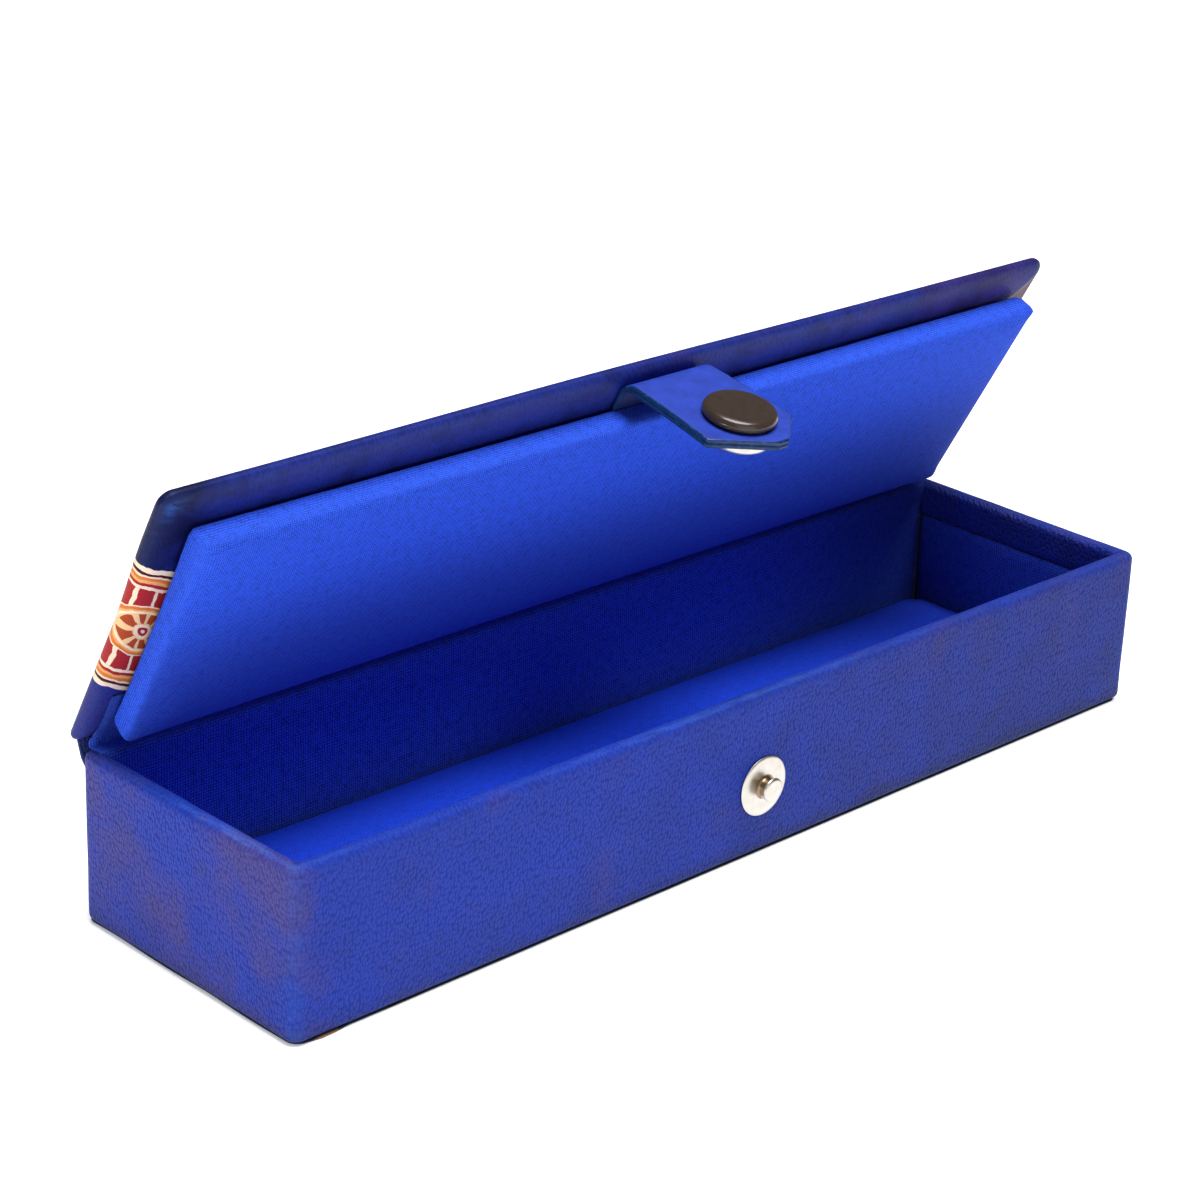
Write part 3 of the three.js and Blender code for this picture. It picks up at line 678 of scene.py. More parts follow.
@dataclass(frozen=True)
class BorderedGoatskin(Goatskin):
    """The lid's skin: smoother and darker, with a painted and tooled border of rosettes and cells."""

    name: str = "goatskin_tooled_border"
    dye: str = "#1b2982"
    streak: float = 3.2
    cloud: str = "#35246c"
    # the dull colour here is also the colour of the painted shade on the lid
    dull: str = "#0b0f40"
    valley: str = "#0d0f3c"
    rubbed: str = "#2f5cae"
    relief: float = 0.05
    roughness: float = 0.5
    cream: str = "#f2dcc0"
    ochre: str = "#eaa766"
    sand: str = "#f0c48e"
    orange: str = "#d9762f"
    red: str = "#a42426"
    rust: str = "#ab4522"
    maroon: str = "#4d1216"
    flesh: str = "#6e545e"  # the undyed strip turned in at the right end
    half_width: float = 14.5
    field_half: float = 9.6  # where the lines at each side start
    repeat: float = 21
    cell: float = 2.3  # half the width of a cell, between the cream dividers
    divider: float = 0.42
    rosette: float = 6.0
    stretch: float = 0.68  # the medallion is longer than it is wide
    petals: int = 8
    petal_gap: float = 0.19  # share of a petal's half width that stays bare
    petal_start: float = 1.9
    petal_end: float = 4.1
    sway: tuple[float, float, float] = (1.4, 1.1, 0.0)  # of the hand that drew it

    def paint(self, tree: NodeTree, shader: Node) -> None:
        """Plain skin outside the border, painted lines, cells and rosettes inside it."""
        skin_colour, skin_height = self.hide(tree)
        flat = add_node(tree, "ShaderNodeAttribute", attribute_name="border").outputs["Vector"]
        hand = add_node(tree, "ShaderNodeTexNoise", {"Vector": flat, "Scale": 0.35, "Detail": 2.0})
        drawn = add_node(
            tree, "ShaderNodeVectorMath",
            {0: hand.outputs["Color"], 1: self.sway, 2: flat}, operation="MULTIPLY_ADD",
        )
        parts = add_node(tree, "ShaderNodeSeparateXYZ", {0: drawn})
        across = add_node(tree, "ShaderNodeMath", {0: parts.outputs["Y"]}, operation="ABSOLUTE")
        along = add_node(
            tree, "ShaderNodeMath", {0: parts.outputs["X"], 1: self.repeat / 2, 2: -self.repeat / 2},
            operation="WRAP",
        )
        squeezed = add_node(tree, "ShaderNodeMath", {0: along, 1: self.stretch}, operation="MULTIPLY")
        spot = add_node(tree, "ShaderNodeCombineXYZ", {"X": squeezed, "Y": parts.outputs["Y"]})
        radius = add_node(tree, "ShaderNodeVectorMath", {0: spot}, operation="LENGTH")

        lines = self.bands(
            tree, across, self.half_width,
            [(0, self.red), (self.field_half, self.cream), (10.2, self.red), (10.9, self.ochre),
             (11.6, self.orange), (12.3, self.cream), (12.8, self.maroon), (13.4, self.cream)],
        )
        step = add_node(tree, "ShaderNodeMath", {0: along, 1: self.cell}, operation="PINGPONG")
        between = add_node(tree, "ShaderNodeMath", {0: step, 1: self.divider}, operation="LESS_THAN")
        cells = add_node(
            tree, "ShaderNodeMix", {"Factor": between, "A": linear(self.red), "B": linear(self.cream)},
            data_type="RGBA",
        )
        medal = self.bands(
            tree, radius, self.rosette,
            [(0, self.cream), (0.45, self.red), (1.05, self.cream), (1.6, self.sand), (4.3, self.cream),
             (4.7, self.ochre), (5.1, self.orange), (5.7, self.cream)],
        )
        angle = add_node(tree, "ShaderNodeMath", {0: parts.outputs["Y"], 1: along}, operation="ARCTAN2")
        spokes = add_node(
            tree, "ShaderNodeMath", {0: angle, 1: self.petals / math.tau}, operation="MULTIPLY"
        )
        spoke = add_node(tree, "ShaderNodeMath", {0: spokes, 1: 0.5}, operation="PINGPONG")
        petal, inner, outer = (
            add_node(tree, "ShaderNodeMath", {0: measure, 1: limit}, operation=test)
            for measure, limit, test in (
                (spoke, self.petal_gap, "GREATER_THAN"),
                (radius, self.petal_start, "GREATER_THAN"),
                (radius, self.petal_end, "LESS_THAN"),
            )
        )
        wedge = add_node(tree, "ShaderNodeMath", {0: inner, 1: outer}, operation="MULTIPLY")
        leaf = add_node(tree, "ShaderNodeMath", {0: wedge, 1: petal}, operation="MULTIPLY")
        flower = add_node(
            tree, "ShaderNodeMix", {"Factor": leaf, "A": medal, "B": linear(self.rust)}, data_type="RGBA"
        )
        in_medal, in_field, in_border = (
            add_node(tree, "ShaderNodeMath", {0: measure, 1: limit}, operation="LESS_THAN")
            for measure, limit in (
                (radius, self.rosette), (across, self.field_half), (across, self.half_width)
            )
        )
        field_colour = add_node(
            tree, "ShaderNodeMix", {"Factor": in_medal, "A": cells, "B": flower}, data_type="RGBA"
        )
        painted = add_node(
            tree, "ShaderNodeMix", {"Factor": in_field, "A": lines, "B": field_colour}, data_type="RGBA"
        )
        colour = add_node(
            tree, "ShaderNodeMix", {"Factor": in_border, "A": skin_colour, "B": painted}, data_type="RGBA"
        )
        undyed = add_node(tree, "ShaderNodeAttribute", attribute_name="flesh").outputs["Fac"]
        colour = add_node(
            tree, "ShaderNodeMix", {"Factor": undyed, "A": colour, "B": linear(self.flesh)},
            data_type="RGBA",
        )
        tone = add_node(tree, "ShaderNodeRGBToBW", {0: painted})
        tooled = add_node(tree, "ShaderNodeMath", {0: tone, 1: in_border}, operation="MULTIPLY")
        height = add_node(
            tree, "ShaderNodeMath", {0: tooled, 1: 2.5, 2: skin_height}, operation="MULTIPLY_ADD"
        )
        relief = add_node(
            tree, "ShaderNodeBump", {"Height": height, "Strength": 0.5, "Distance": self.relief * MM}
        )
        feed(tree, shader, {
            "Base Color": colour, "Normal": relief, "Roughness": self.roughness,
            "IOR": LEATHER_IOR, "Specular IOR Level": self.shine,
        })

    def bands(
        self, tree: NodeTree, distance: Node, reach: float, stops: Sequence[tuple[float, str]]
    ) -> Node:
        """Flat colours by distance.

        Args:
            tree: the material's node tree.
            distance: the distance in millimetres.
            reach: where the last colour ends.
            stops: where each colour starts, and the colour.

        Returns:
            The colour.
        """
        share = add_node(tree, "ShaderNodeMath", {0: distance, 1: reach}, operation="DIVIDE")
        ramp = add_node(tree, "ShaderNodeValToRGB", {0: share})
        ramp.color_ramp.interpolation = "CONSTANT"
        knots = ramp.color_ramp.elements
        while len(knots) < len(stops):
            knots.new(1.0)
        for knot, (start, colour) in zip(knots, stops):
            knot.position = start / reach
            knot.color = linear(colour)
        return ramp


@dataclass(frozen=True)
class Cotton(Finish):
    """Plain-woven cotton, piece dyed: fine thread grid, darker gaps and slubby threads, darkened by painted
    shade where its mark asks.
    """

    name: str = "cotton_plain_weave"
    thread: str = "#3264ff"
    # gap: between the threads, and also the colour that painted shade darkens the cloth towards
    gap: str = "#182066"
    pitch: float = 0.44
    weft_tone: float = 0.68  # how much darker the weft shows than the warp
    slub: float = 2.0
    slub_width: float = 1.6  # in pitches
    sway: float = 0.9  # how far the threads wander
    sway_size: float = 4.0
    bluntness: float = 0.4  # how square a thread's ends are where it dives under
    fuzz: str = "#7f9dff"
    full: float = 0.46  # thickness at which a thread shows its full colour
    relief: float = 0.16
    roughness: float = 0.85
    shine: float = 0.15

    def paint(self, tree: NodeTree, shader: Node) -> None:
        """Threads that cross over and under each other, with a soft fuzz."""
        cloth = add_node(tree, "ShaderNodeAttribute", attribute_name="cloth").outputs["Vector"]
        drift = add_node(
            tree, "ShaderNodeTexNoise", {"Vector": cloth, "Scale": 1 / (self.sway_size * MM), "Detail": 4.0}
        )
        laid = add_node(
            tree, "ShaderNodeVectorMath",
            {0: drift.outputs["Color"], 1: (self.sway * MM, self.sway * MM, 0.0), 2: cloth},
            operation="MULTIPLY_ADD",
        )
        parts = add_node(tree, "ShaderNodeSeparateXYZ", {0: laid})
        waves, rounds, longs = [], [], []
        for axis in ("X", "Y"):
            turn = add_node(
                tree, "ShaderNodeMath", {0: parts.outputs[axis], 1: math.pi / (self.pitch * MM)},
                operation="MULTIPLY",
            )
            wave = add_node(tree, "ShaderNodeMath", {0: turn}, operation="SINE")
            bulge = add_node(tree, "ShaderNodeMath", {0: wave}, operation="ABSOLUTE")
            blunt = add_node(tree, "ShaderNodeMath", {0: bulge, 1: self.bluntness}, operation="POWER")
            waves.append(wave)
            rounds.append(bulge)
            longs.append(blunt)
        warp, weft = (
            add_node(tree, "ShaderNodeMath", {0: rounds[i], 1: longs[1 - i]}, operation="MULTIPLY")
            for i in (0, 1)
        )
        over = add_node(tree, "ShaderNodeMath", {0: waves[0], 1: waves[1]}, operation="MULTIPLY")
        upper = add_node(tree, "ShaderNodeMath", {0: over, 1: 0.0}, operation="GREATER_THAN")
        weave = add_node(
            tree, "ShaderNodeMix", {"Factor": upper, "A": weft, "B": warp}, data_type="FLOAT"
        )
        slubs = []
        fine = self.slub_width * self.pitch
        for wide, tall in ((fine, self.slub), (self.slub, fine)):
            strand = add_node(
                tree, "ShaderNodeMapping",
                {"Vector": cloth, "Scale": (1 / (wide * MM), 1 / (tall * MM), 1.0)},
            )
            uneven = add_node(
                tree, "ShaderNodeTexNoise", {"Vector": strand, "Scale": 1.0, "Detail": 2.0}
            )
            slubs.append(uneven)
        thick = add_node(tree, "ShaderNodeMath", {0: slubs[0], 1: slubs[1]}, operation="ADD")
        lit = add_node(
            tree, "ShaderNodeMapRange", {"Value": thick, "From Min": 0.7, "From Max": 1.3, "To Min": 0.45}
        )
        shade = add_node(tree, "ShaderNodeMath", {0: weave, 1: lit}, operation="MULTIPLY")
        strength = add_node(
            tree, "ShaderNodeMapRange", {"Value": upper, "To Min": self.weft_tone, "To Max": 1.0}
        )
        dotted = add_node(tree, "ShaderNodeMath", {0: shade, 1: strength}, operation="MULTIPLY")
        # painted shade: the mark pulls the cloth towards its gap colour
        painted_cloth_shade = add_node(tree, "ShaderNodeAttribute", attribute_name="painted_cloth_shade").outputs["Fac"]
        unshaded = add_node(tree, "ShaderNodeMapRange", {"Value": painted_cloth_shade, "To Min": 1.0, "To Max": 0.35})
        tone = add_node(
            tree, "ShaderNodeMapRange",
            {"Value": dotted, "From Max": self.full, "To Min": 0.05, "To Max": 1.0},
        )
        seen = add_node(tree, "ShaderNodeMath", {0: tone, 1: unshaded}, operation="MULTIPLY")
        colour = add_node(
            tree, "ShaderNodeMix", {"Factor": seen, "A": linear(self.gap), "B": linear(self.thread)},
            data_type="RGBA",
        )
        relief = add_node(
            tree, "ShaderNodeBump", {"Height": shade, "Strength": 0.45, "Distance": self.relief * MM}
        )
        feed(tree, shader, {
            "Base Color": colour, "Normal": relief,
            "Roughness": self.roughness, "Specular IOR Level": self.shine,
            "Sheen Weight": 0.03, "Sheen Roughness": 0.4, "Sheen Tint": linear(self.fuzz),
        })


@dataclass(frozen=True)
class StrapHide(Finish):
    """Smooth dyed hide with painted edges: faint pores, brush clouds, a glossy dark edge and painted shade
    on its underside.
    """

    name: str = "smooth_hide_painted_edge"
    dye: str = "#2945b8"
    cloud: str = "#233a9e"
    # painted shade on the plies' underside, dark under the strap's bend
    lining: str = "#141f55"
    edge: str = "#0f2a56"
    edge_light: str = "#28588a"
    pore: float = 0.28
    cloud_size: float = 4.0
    chip: float = 0.9
    roughness: float = 0.5
    edge_roughness: float = 0.28

    def paint(self, tree: NodeTree, shader: Node) -> None:
        """Dyed face, painted edge."""
        place = add_node(tree, "ShaderNodeAttribute", attribute_name="hide").outputs["Vector"]
        pores = add_node(
            tree, "ShaderNodeTexNoise", {"Vector": place, "Scale": 1 / (self.pore * MM), "Detail": 4.0}
        )
        clouds = add_node(
            tree, "ShaderNodeTexNoise",
            {"Vector": place, "Scale": 1 / (self.cloud_size * MM), "Detail": 5.0, "Roughness": 0.65},
        )
        cloudy = add_node(
            tree, "ShaderNodeMapRange", {"Value": clouds, "From Min": 0.35, "From Max": 0.65}
        )
        face = add_node(
            tree, "ShaderNodeMix",
            {"Factor": cloudy, "A": linear(self.dye), "B": linear(self.cloud)}, data_type="RGBA",
        )
        chips = add_node(
            tree, "ShaderNodeTexNoise", {"Vector": place, "Scale": 1 / (self.chip * MM), "Detail": 4.0}
        )
        chipped = add_node(
            tree, "ShaderNodeMapRange", {"Value": chips, "From Min": 0.5, "From Max": 0.7}
        )
        coat = add_node(
            tree, "ShaderNodeMix",
            {"Factor": chipped, "A": linear(self.edge), "B": linear(self.edge_light)},
            data_type="RGBA",
        )
        # painted shade: the underside faces take the lining colour
        under = add_node(tree, "ShaderNodeAttribute", attribute_name="under").outputs["Fac"]
        sides = add_node(
            tree, "ShaderNodeMix",
            {"Factor": under, "A": face, "B": linear(self.lining)}, data_type="RGBA",
        )
        edge = add_node(tree, "ShaderNodeAttribute", attribute_name="edge").outputs["Fac"]
        soft = add_node(
            tree, "ShaderNodeMapRange", {"Value": edge, "From Min": 0.25, "From Max": 0.75},
            interpolation_type="SMOOTHSTEP",
        )
        colour = add_node(
            tree, "ShaderNodeMix", {"Factor": soft, "A": sides, "B": coat}, data_type="RGBA"
        )
        gloss = add_node(
            tree, "ShaderNodeMapRange",
            {"Value": soft, "To Min": self.roughness, "To Max": self.edge_roughness},
        )
        relief = add_node(
            tree, "ShaderNodeBump", {"Height": pores, "Strength": 0.35, "Distance": 0.05 * MM}
        )
        feed(tree, shader, {
            "Base Color": colour, "Roughness": gloss,
            "Normal": relief, "IOR": LEATHER_IOR, "Specular IOR Level": 0.3,
        })


@dataclass(frozen=True)
class Leatherette(Finish):
    """Black coated backing sheet: matt, finely pebbled, its tan core bare where the edge is rubbed."""

    name: str = "leatherette_black"
    coat: str = "#22313c"
    core: str = "#80603f"
    pebble: float = 0.7
    fleck: float = 1.2

    def paint(self, tree: NodeTree, shader: Node) -> None:
        """Pebbled coat, bare core by the mark."""
        place = add_node(tree, "ShaderNodeTexCoord").outputs["Object"]
        pebbles = add_node(
            tree, "ShaderNodeTexVoronoi", {"Vector": place, "Scale": 1 / (self.pebble * MM)}
        )
        bare = add_node(tree, "ShaderNodeAttribute", attribute_name="bare").outputs["Fac"]
        flecks = add_node(
            tree, "ShaderNodeTexNoise", {"Vector": place, "Scale": 1 / (self.fleck * MM), "Detail": 4.0}
        )
        patchy = add_node(
            tree, "ShaderNodeMath", {0: flecks, 1: 0.7, 2: bare}, operation="MULTIPLY_ADD"
        )
        shown = add_node(
            tree, "ShaderNodeMapRange", {"Value": patchy, "From Min": 0.85, "From Max": 1.05}
        )
        colour = add_node(
            tree, "ShaderNodeMix",
            {"Factor": shown, "A": linear(self.coat), "B": linear(self.core)}, data_type="RGBA",
        )
        relief = add_node(
            tree, "ShaderNodeBump",
            {"Height": pebbles.outputs["Distance"], "Strength": 0.4, "Distance": 0.1 * MM},
        )
        feed(tree, shader, {
            "Base Color": colour, "Normal": relief, "Roughness": 0.6,
        })


@dataclass(frozen=True)
class Board(Finish):
    """Pressed grey board: fibrous, matt and stained with glue."""

    name: str = "grey_board_pressed"
    pulp: str = "#7d7569"
    stain: str = "#2b2320"
    fibre: float = 1.1

    def paint(self, tree: NodeTree, shader: Node) -> None:
        """Fibres and stains."""
        place = add_node(tree, "ShaderNodeTexCoord").outputs["Object"]
        fibres = add_node(
            tree, "ShaderNodeTexNoise", {"Vector": place, "Scale": 1 / (self.fibre * MM), "Detail": 6.0}
        )
        colour = add_node(
            tree, "ShaderNodeMix",
            {"Factor": fibres, "A": linear(self.stain), "B": linear(self.pulp)},
            data_type="RGBA",
        )
        relief = add_node(
            tree, "ShaderNodeBump", {"Height": fibres, "Strength": 0.4, "Distance": 0.1 * MM}
        )
        feed(tree, shader, {
            "Base Color": colour, "Normal": relief, "Roughness": 0.95,
        })


@dataclass(frozen=True)
class Nickel(Finish):
    """Pressed brass, nickel plated: bright, with fine rubbed scratches and duller hollows."""

    name: str = "nickel_plated_pressing"
    plate: str = "#d9d6cf"
    dull: str = "#bdb6a9"
    brass: str = "#8f7c62"
    cloud_size: float = 1.6
    scratch: float = 0.35

    def paint(self, tree: NodeTree, shader: Node) -> None:
        """Bright plate with clouds and scratches."""
        place = add_node(tree, "ShaderNodeTexCoord").outputs["Object"]
        clouds = add_node(
            tree, "ShaderNodeTexNoise", {"Vector": place, "Scale": 1 / (self.cloud_size * MM), "Detail": 5.0}
        )
        colour = add_node(
            tree, "ShaderNodeMix",
            {"Factor": clouds, "A": linear(self.plate), "B": linear(self.dull)},
            data_type="RGBA",
        )
        bare = add_node(tree, "ShaderNodeAttribute", attribute_name="bare").outputs["Fac"]
        worn = add_node(
            tree, "ShaderNodeMix",
            {"Factor": bare, "A": colour, "B": linear(self.brass)}, data_type="RGBA",
        )
        marks = add_node(
            tree, "ShaderNodeTexNoise", {"Vector": place, "Scale": 1 / (self.scratch * MM), "Detail": 3.0}
        )
        gloss = add_node(tree, "ShaderNodeMapRange", {"Value": marks, "To Min": 0.2, "To Max": 0.45})
        relief = add_node(
            tree, "ShaderNodeBump", {"Height": marks, "Strength": 0.12, "Distance": 0.03 * MM}
        )
        feed(tree, shader, {
            "Base Color": worn, "Roughness": gloss,
            "Normal": relief, "Metallic": 1.0,
        })


@dataclass(frozen=True)
class Enamel(Finish):
    """Stoved enamel on a pressed cap: brown-black, glossy, with a faint orange-peel ripple."""

    name: str = "stoved_enamel"
    paint_colour: str = "#322823"
    thin_colour: str = "#42352e"
    peel: float = 1.4

    def paint(self, tree: NodeTree, shader: Node) -> None:
        """Deep gloss coat."""
        place = add_node(tree, "ShaderNodeTexCoord").outputs["Object"]
        peel = add_node(
            tree, "ShaderNodeTexNoise", {"Vector": place, "Scale": 1 / (self.peel * MM), "Detail": 2.0}
        )
        colour = add_node(
            tree, "ShaderNodeMix",
            {"Factor": peel, "A": linear(self.paint_colour), "B": linear(self.thin_colour)},
            data_type="RGBA",
        )
        relief = add_node(
            tree, "ShaderNodeBump", {"Height": peel, "Strength": 0.06, "Distance": 0.05 * MM}
        )
        feed(tree, shader, {
            "Base Color": colour, "Normal": relief, "Roughness": 0.22,
            "IOR": 1.5, "Specular IOR Level": 0.4, "Coat Weight": 0.15, "Coat Roughness": 0.06,
        })


@dataclass(frozen=True)
class PaleFloor(Finish):
    """A plain white sheet, lit through from below so that it stays white."""

    name: str = "white_light_table"
    tone: str = "#f6f6f6"
    glow: float = 0.42

    def paint(self, tree: NodeTree, shader: Node) -> None:
        """Matt white."""
        feed(tree, shader, {
            "Base Color": linear(self.tone), "Roughness": 0.95, "Specular IOR Level": 0.0,
            "Emission Color": linear(self.tone), "Emission Strength": self.glow,
        })


@dataclass
class BoxLeather:
    """The wall wrap, the bottom sheet and the spine that carries the lid."""

    corner: float = 2.4
    least_corner: float = 0.35
    turned: float = 9.0  # width of the wrap turned under
    rim_round: float = 1.3
    foot: float = 0.4  # underside of the wrap, above the table
    foot_round: float = 1.4
    unevenness: float = 0.13
    left_rub: float = -12.0  # middle of the rubbed stretch of the left rim
    left_rub_width: float = 9.0
    front_rub: float = -8.0  # and of the front rim
    front_rub_width: float = 34.0
    end_band: float = 14.0  # dyed more violet towards the ends
    foot_band: float = 1.4  # painted shade darkens the wrap from the foot up to here
    bottom_edge: float = 0.2
    bottom_bevel: float = 0.06
    bottom_lap: float = 4.0
    bottom_inset: float = 0.45
    bottom_corner: float = 0.3
    bottom_trim: float = 0.003  # share by which the hand trim wanders
    spine_free: float = 26.5  # height at which the spine leaves the wall
    spine_low_end: float = 105.2
    spine_end: float = 106.0
    spine_lap: float = 9.0  # its skived lap on the lid's outer face
    spine_skive: float = 0.12
    spine_knuckle: float = 0.9  # where it meets the lid, from the hinge
    spine_rise: float = 4.6  # how far it keeps straight up above the wall
    spine_lead: float = 2.4  # and straight in line with the lid before it meets it
    spine_over: float = 2.4  # its bend ends this far above the wall's spine
    spine_swell: float = 0.12
    spine_rub: float = 33.5  # height of the rubbed bend
    spine_columns: int = 73
    bare_start: float = -104.0  # rubbed stretch of the bottom sheet's front edge
    bare_end: float = -96.5
    bare_bulge: float = 0.5
    steps: RingSteps = field(default_factory=RingSteps)

    def wall_section(self) -> np.ndarray:
        """The wrap's cut section: insets from the outer face, and heights."""
        low, high = span("wall_leather")
        rim = span("left_board")[1][0] - low[0] + GLUE + LEATHER
        lip = span("lining_left")[1][2] + 3 * GLUE
        r, f = self.rim_round, self.foot_round
        top, foot = high[2], self.foot
        outside = [
            np.array([[self.turned, foot]]),
            arc((f, foot + f), f, 270, 180, 5),
            straight((0, foot + f), (0, top - r), 12),
            arc((r, top - r), r, 180, 90, 6)[1:],
            arc((rim - r, top - r), r, 90, 0, 6),
            straight((rim, top - r), (rim, lip + LEATHER / 2), 4),
            arc((rim - LEATHER / 2, lip + LEATHER / 2), LEATHER / 2, 0, -90, 3)[1:],
        ]
        inside = np.array([
            [rim - LEATHER, lip + LEATHER / 2],
            [rim - LEATHER, top - LEATHER],
            [LEATHER, top - LEATHER],
            [LEATHER, foot + LEATHER],
            [self.turned, foot + LEATHER],
        ])
        return np.concatenate([*outside, inside])

    def build_walls(self) -> Object:
        """Makes the wrap, drawn over boards that aren't quite flat."""
        low, high = span("wall_leather")
        half = (high - low) / 2
        middle = (high + low) / 2
        section = self.wall_section()
        outer = ring(half[0], half[1], self.corner, self.steps)
        inset = ring(half[0] - 1, half[1] - 1, self.corner - 1, self.steps)
        outward = outer - inset
        outward /= np.linalg.norm(outward, axis=1)[:, None]
        grid = rings(half, section, self.corner, self.least_corner, self.steps)
        grid[..., :2] += middle[:2]
        rim_place = np.column_stack([outer, np.zeros(len(outer))])
        swell = ripple(grid, 24, 1) + 0.5 * ripple(grid, 9, 2)
        rise = smooth_step(low[2], low[2] + 6, grid[..., 2])
        grid[..., :2] += outward * (self.unevenness * swell * rise)[..., None]
        crest = ripple(rim_place, 22, 3) + 0.4 * ripple(rim_place, 6, 4)
        grid[..., 2] += self.unevenness * crest * smooth_step(high[2] - 5, high[2], grid[..., 2])
        points, faces = skin(grid, True)
        return make_piece("wall_wrap", points, faces, Goatskin(), self.wall_marks(grid, section, outer))

    def wall_marks(
        self, grid: np.ndarray, section: np.ndarray, outer: np.ndarray
    ) -> dict[str, np.ndarray]:
        """Where the wrap is rubbed and violet, and where painted shade darkens it.

        Args:
            grid: its points, ring by ring.
            section: its cut section.
            outer: its outline.

        Returns:
            The marks by name, with the place on the flat hide.
        """
        low, high = span("wall_leather")
        half = (high - low) / 2
        x, z = grid[..., 0], grid[..., 2]
        hide = np.zeros(grid.shape)
        hide[..., 0] = lengths(outer) * MM
        hide[..., 1] = lengths(section)[:, None] * MM
        on_rim = smooth_step(high[2] - 0.5, high[2] - 0.03, section[:, 1])
        on_rim = (on_rim * (1 - 0.7 * smooth_step(1.3, 2.2, section[:, 0])))[:, None]
        rubbed = 1 - smooth_step(-half[0], -0.8 * half[0], outer[:, 0])
        rubbed *= 0.3 + np.exp(-(((outer[:, 1] - self.left_rub) / self.left_rub_width) ** 2))
        front = np.exp(-(((outer[:, 0] - self.front_rub) / self.front_rub_width) ** 2))
        rubbed += 0.8 * front * (outer[:, 1] < 0)
        to_corner = sum(np.abs(np.abs(outer[:, i]) - half[i] + 0.7) for i in (0, 1))
        corner = 1 - smooth_step(1.0, 3.0, to_corner)
        foot = 1 - smooth_step(low[2] + 0.2, low[2] + self.foot_band, z)
        wear = np.clip((0.1 + 0.5 * rubbed) * on_rim + 0.2 * corner[None, :], 0, 1)
        at_end = smooth_step(half[0] - self.end_band, half[0], np.abs(x))
        # the foot's extra violet and the darkening below are painted shade: darker towards the right end and
        # the bottom, inside the rim and most at the foot
        violet = at_end * np.where(x < 0, 0.5, 0.3) - 0.12 + 0.2 * foot
        painted_shade = 0.5 * smooth_step(-0.8 * half[0], 0.8 * half[0], x) - 0.15
        painted_shade += 0.15 * (1 - smooth_step(low[2], high[2], z))
        painted_shade += 0.1 * smooth_step(2.0, 3.2, section[:, 0])[:, None] + 0.6 * foot
        return {
            "hide": hide.reshape(-1, 3), "wear": wear.ravel(), "violet": violet.ravel(), "painted_shade": painted_shade.ravel(),
        }

    def build_bottom(self) -> Object:
        """Makes the bottom sheet, trimmed by hand."""
        low, high = span("bottom_leather")
        half = (high - low) / 2 - self.bottom_inset
        r, c, lap = self.bottom_edge, self.bottom_bevel, self.bottom_lap
        top = self.foot - GLUE / 2
        profile = [(lap, 0), (r, 0), (c, c), (0, top / 2), (c, top - c), (r, top), (lap, top)]
        grid = rings(half, profile, self.corner, self.bottom_corner, self.steps)
        trim = ripple(grid[3] * (1, 1, 0), 12, 5)
        grid[..., :2] *= (1 - self.bottom_trim * (1 + trim))[None, :, None]
        x, y = grid[..., 0], grid[..., 1]
        bare = smooth_step(self.bare_start, self.bare_start + 1.5, x)
        bare *= (1 - smooth_step(self.bare_end - 3, self.bare_end, x)) * (y < -half[1] + 1)
        grid[..., 1] -= self.bare_bulge * bare
        points, faces = skin(grid, False)
        return make_piece("bottom_sheet", points, faces, Leatherette(), {"bare": bare.ravel()})

    def spine_path(self) -> np.ndarray:
        """The spine's outer face in (y, z): up the back, out over the hinge and on to the lid."""
        low, high = span("spine_leather")
        lid = lid_plane()
        face = span_of_lid()[1]
        knuckle = lid.place(0, self.spine_knuckle, face + self.spine_skive)[1:]
        lap = lid.place(0, self.spine_lap, face + self.spine_skive)[1:]
        start = np.array([high[1], self.spine_free])
        up = straight((high[1], low[2]), start, 14)
        share = np.linspace(0, 1, 13)[1:, None]
        ease = smooth_step(0, 1, share)
        leave = start + share * np.array([0, self.spine_rise])
        arrive = knuckle - (1 - share) * lid.along * self.spine_lead
        over = leave * (1 - ease) + arrive * ease
        return np.concatenate([[[high[1], low[2]]], up, over, straight(knuckle, lap, 8)])

    def build_spine(self) -> Object:
        """Makes the spine, bent over the hinge on to the lid."""
        high = span("spine_leather")[1]
        path = self.spine_path()
        walk = lengths(path)
        share = walk / walk[-1]
        full = LEATHER - GLUE / 2
        thick = full - (full - self.spine_skive) * smooth_step(0.72, 0.9, share)
        ends = np.interp(
            path[:, 1], [self.spine_free, self.spine_free + 3], [self.spine_low_end, self.spine_end]
        )
        top = drawn_out(path, ends, self.spine_columns)
        back = drawn_out(offset(path, thick), ends, self.spine_columns)
        swell = self.spine_swell * ripple(top, 18, 6) * smooth_step(0.1, 0.5, share)[:, None]
        swell *= 1 - smooth_step(0.8, 0.9, share)[:, None]
        top[..., 1] += swell
        back[..., 1] += swell
        points, faces = sheet_solid(top, back)
        hide = np.zeros(top.shape)
        hide[..., 0] = top[..., 0] * MM
        hide[..., 1] = walk[:, None] * MM + 0.4
        wear = 0.15 * np.exp(-(((top[..., 2] - self.spine_rub) / 1.6) ** 2))
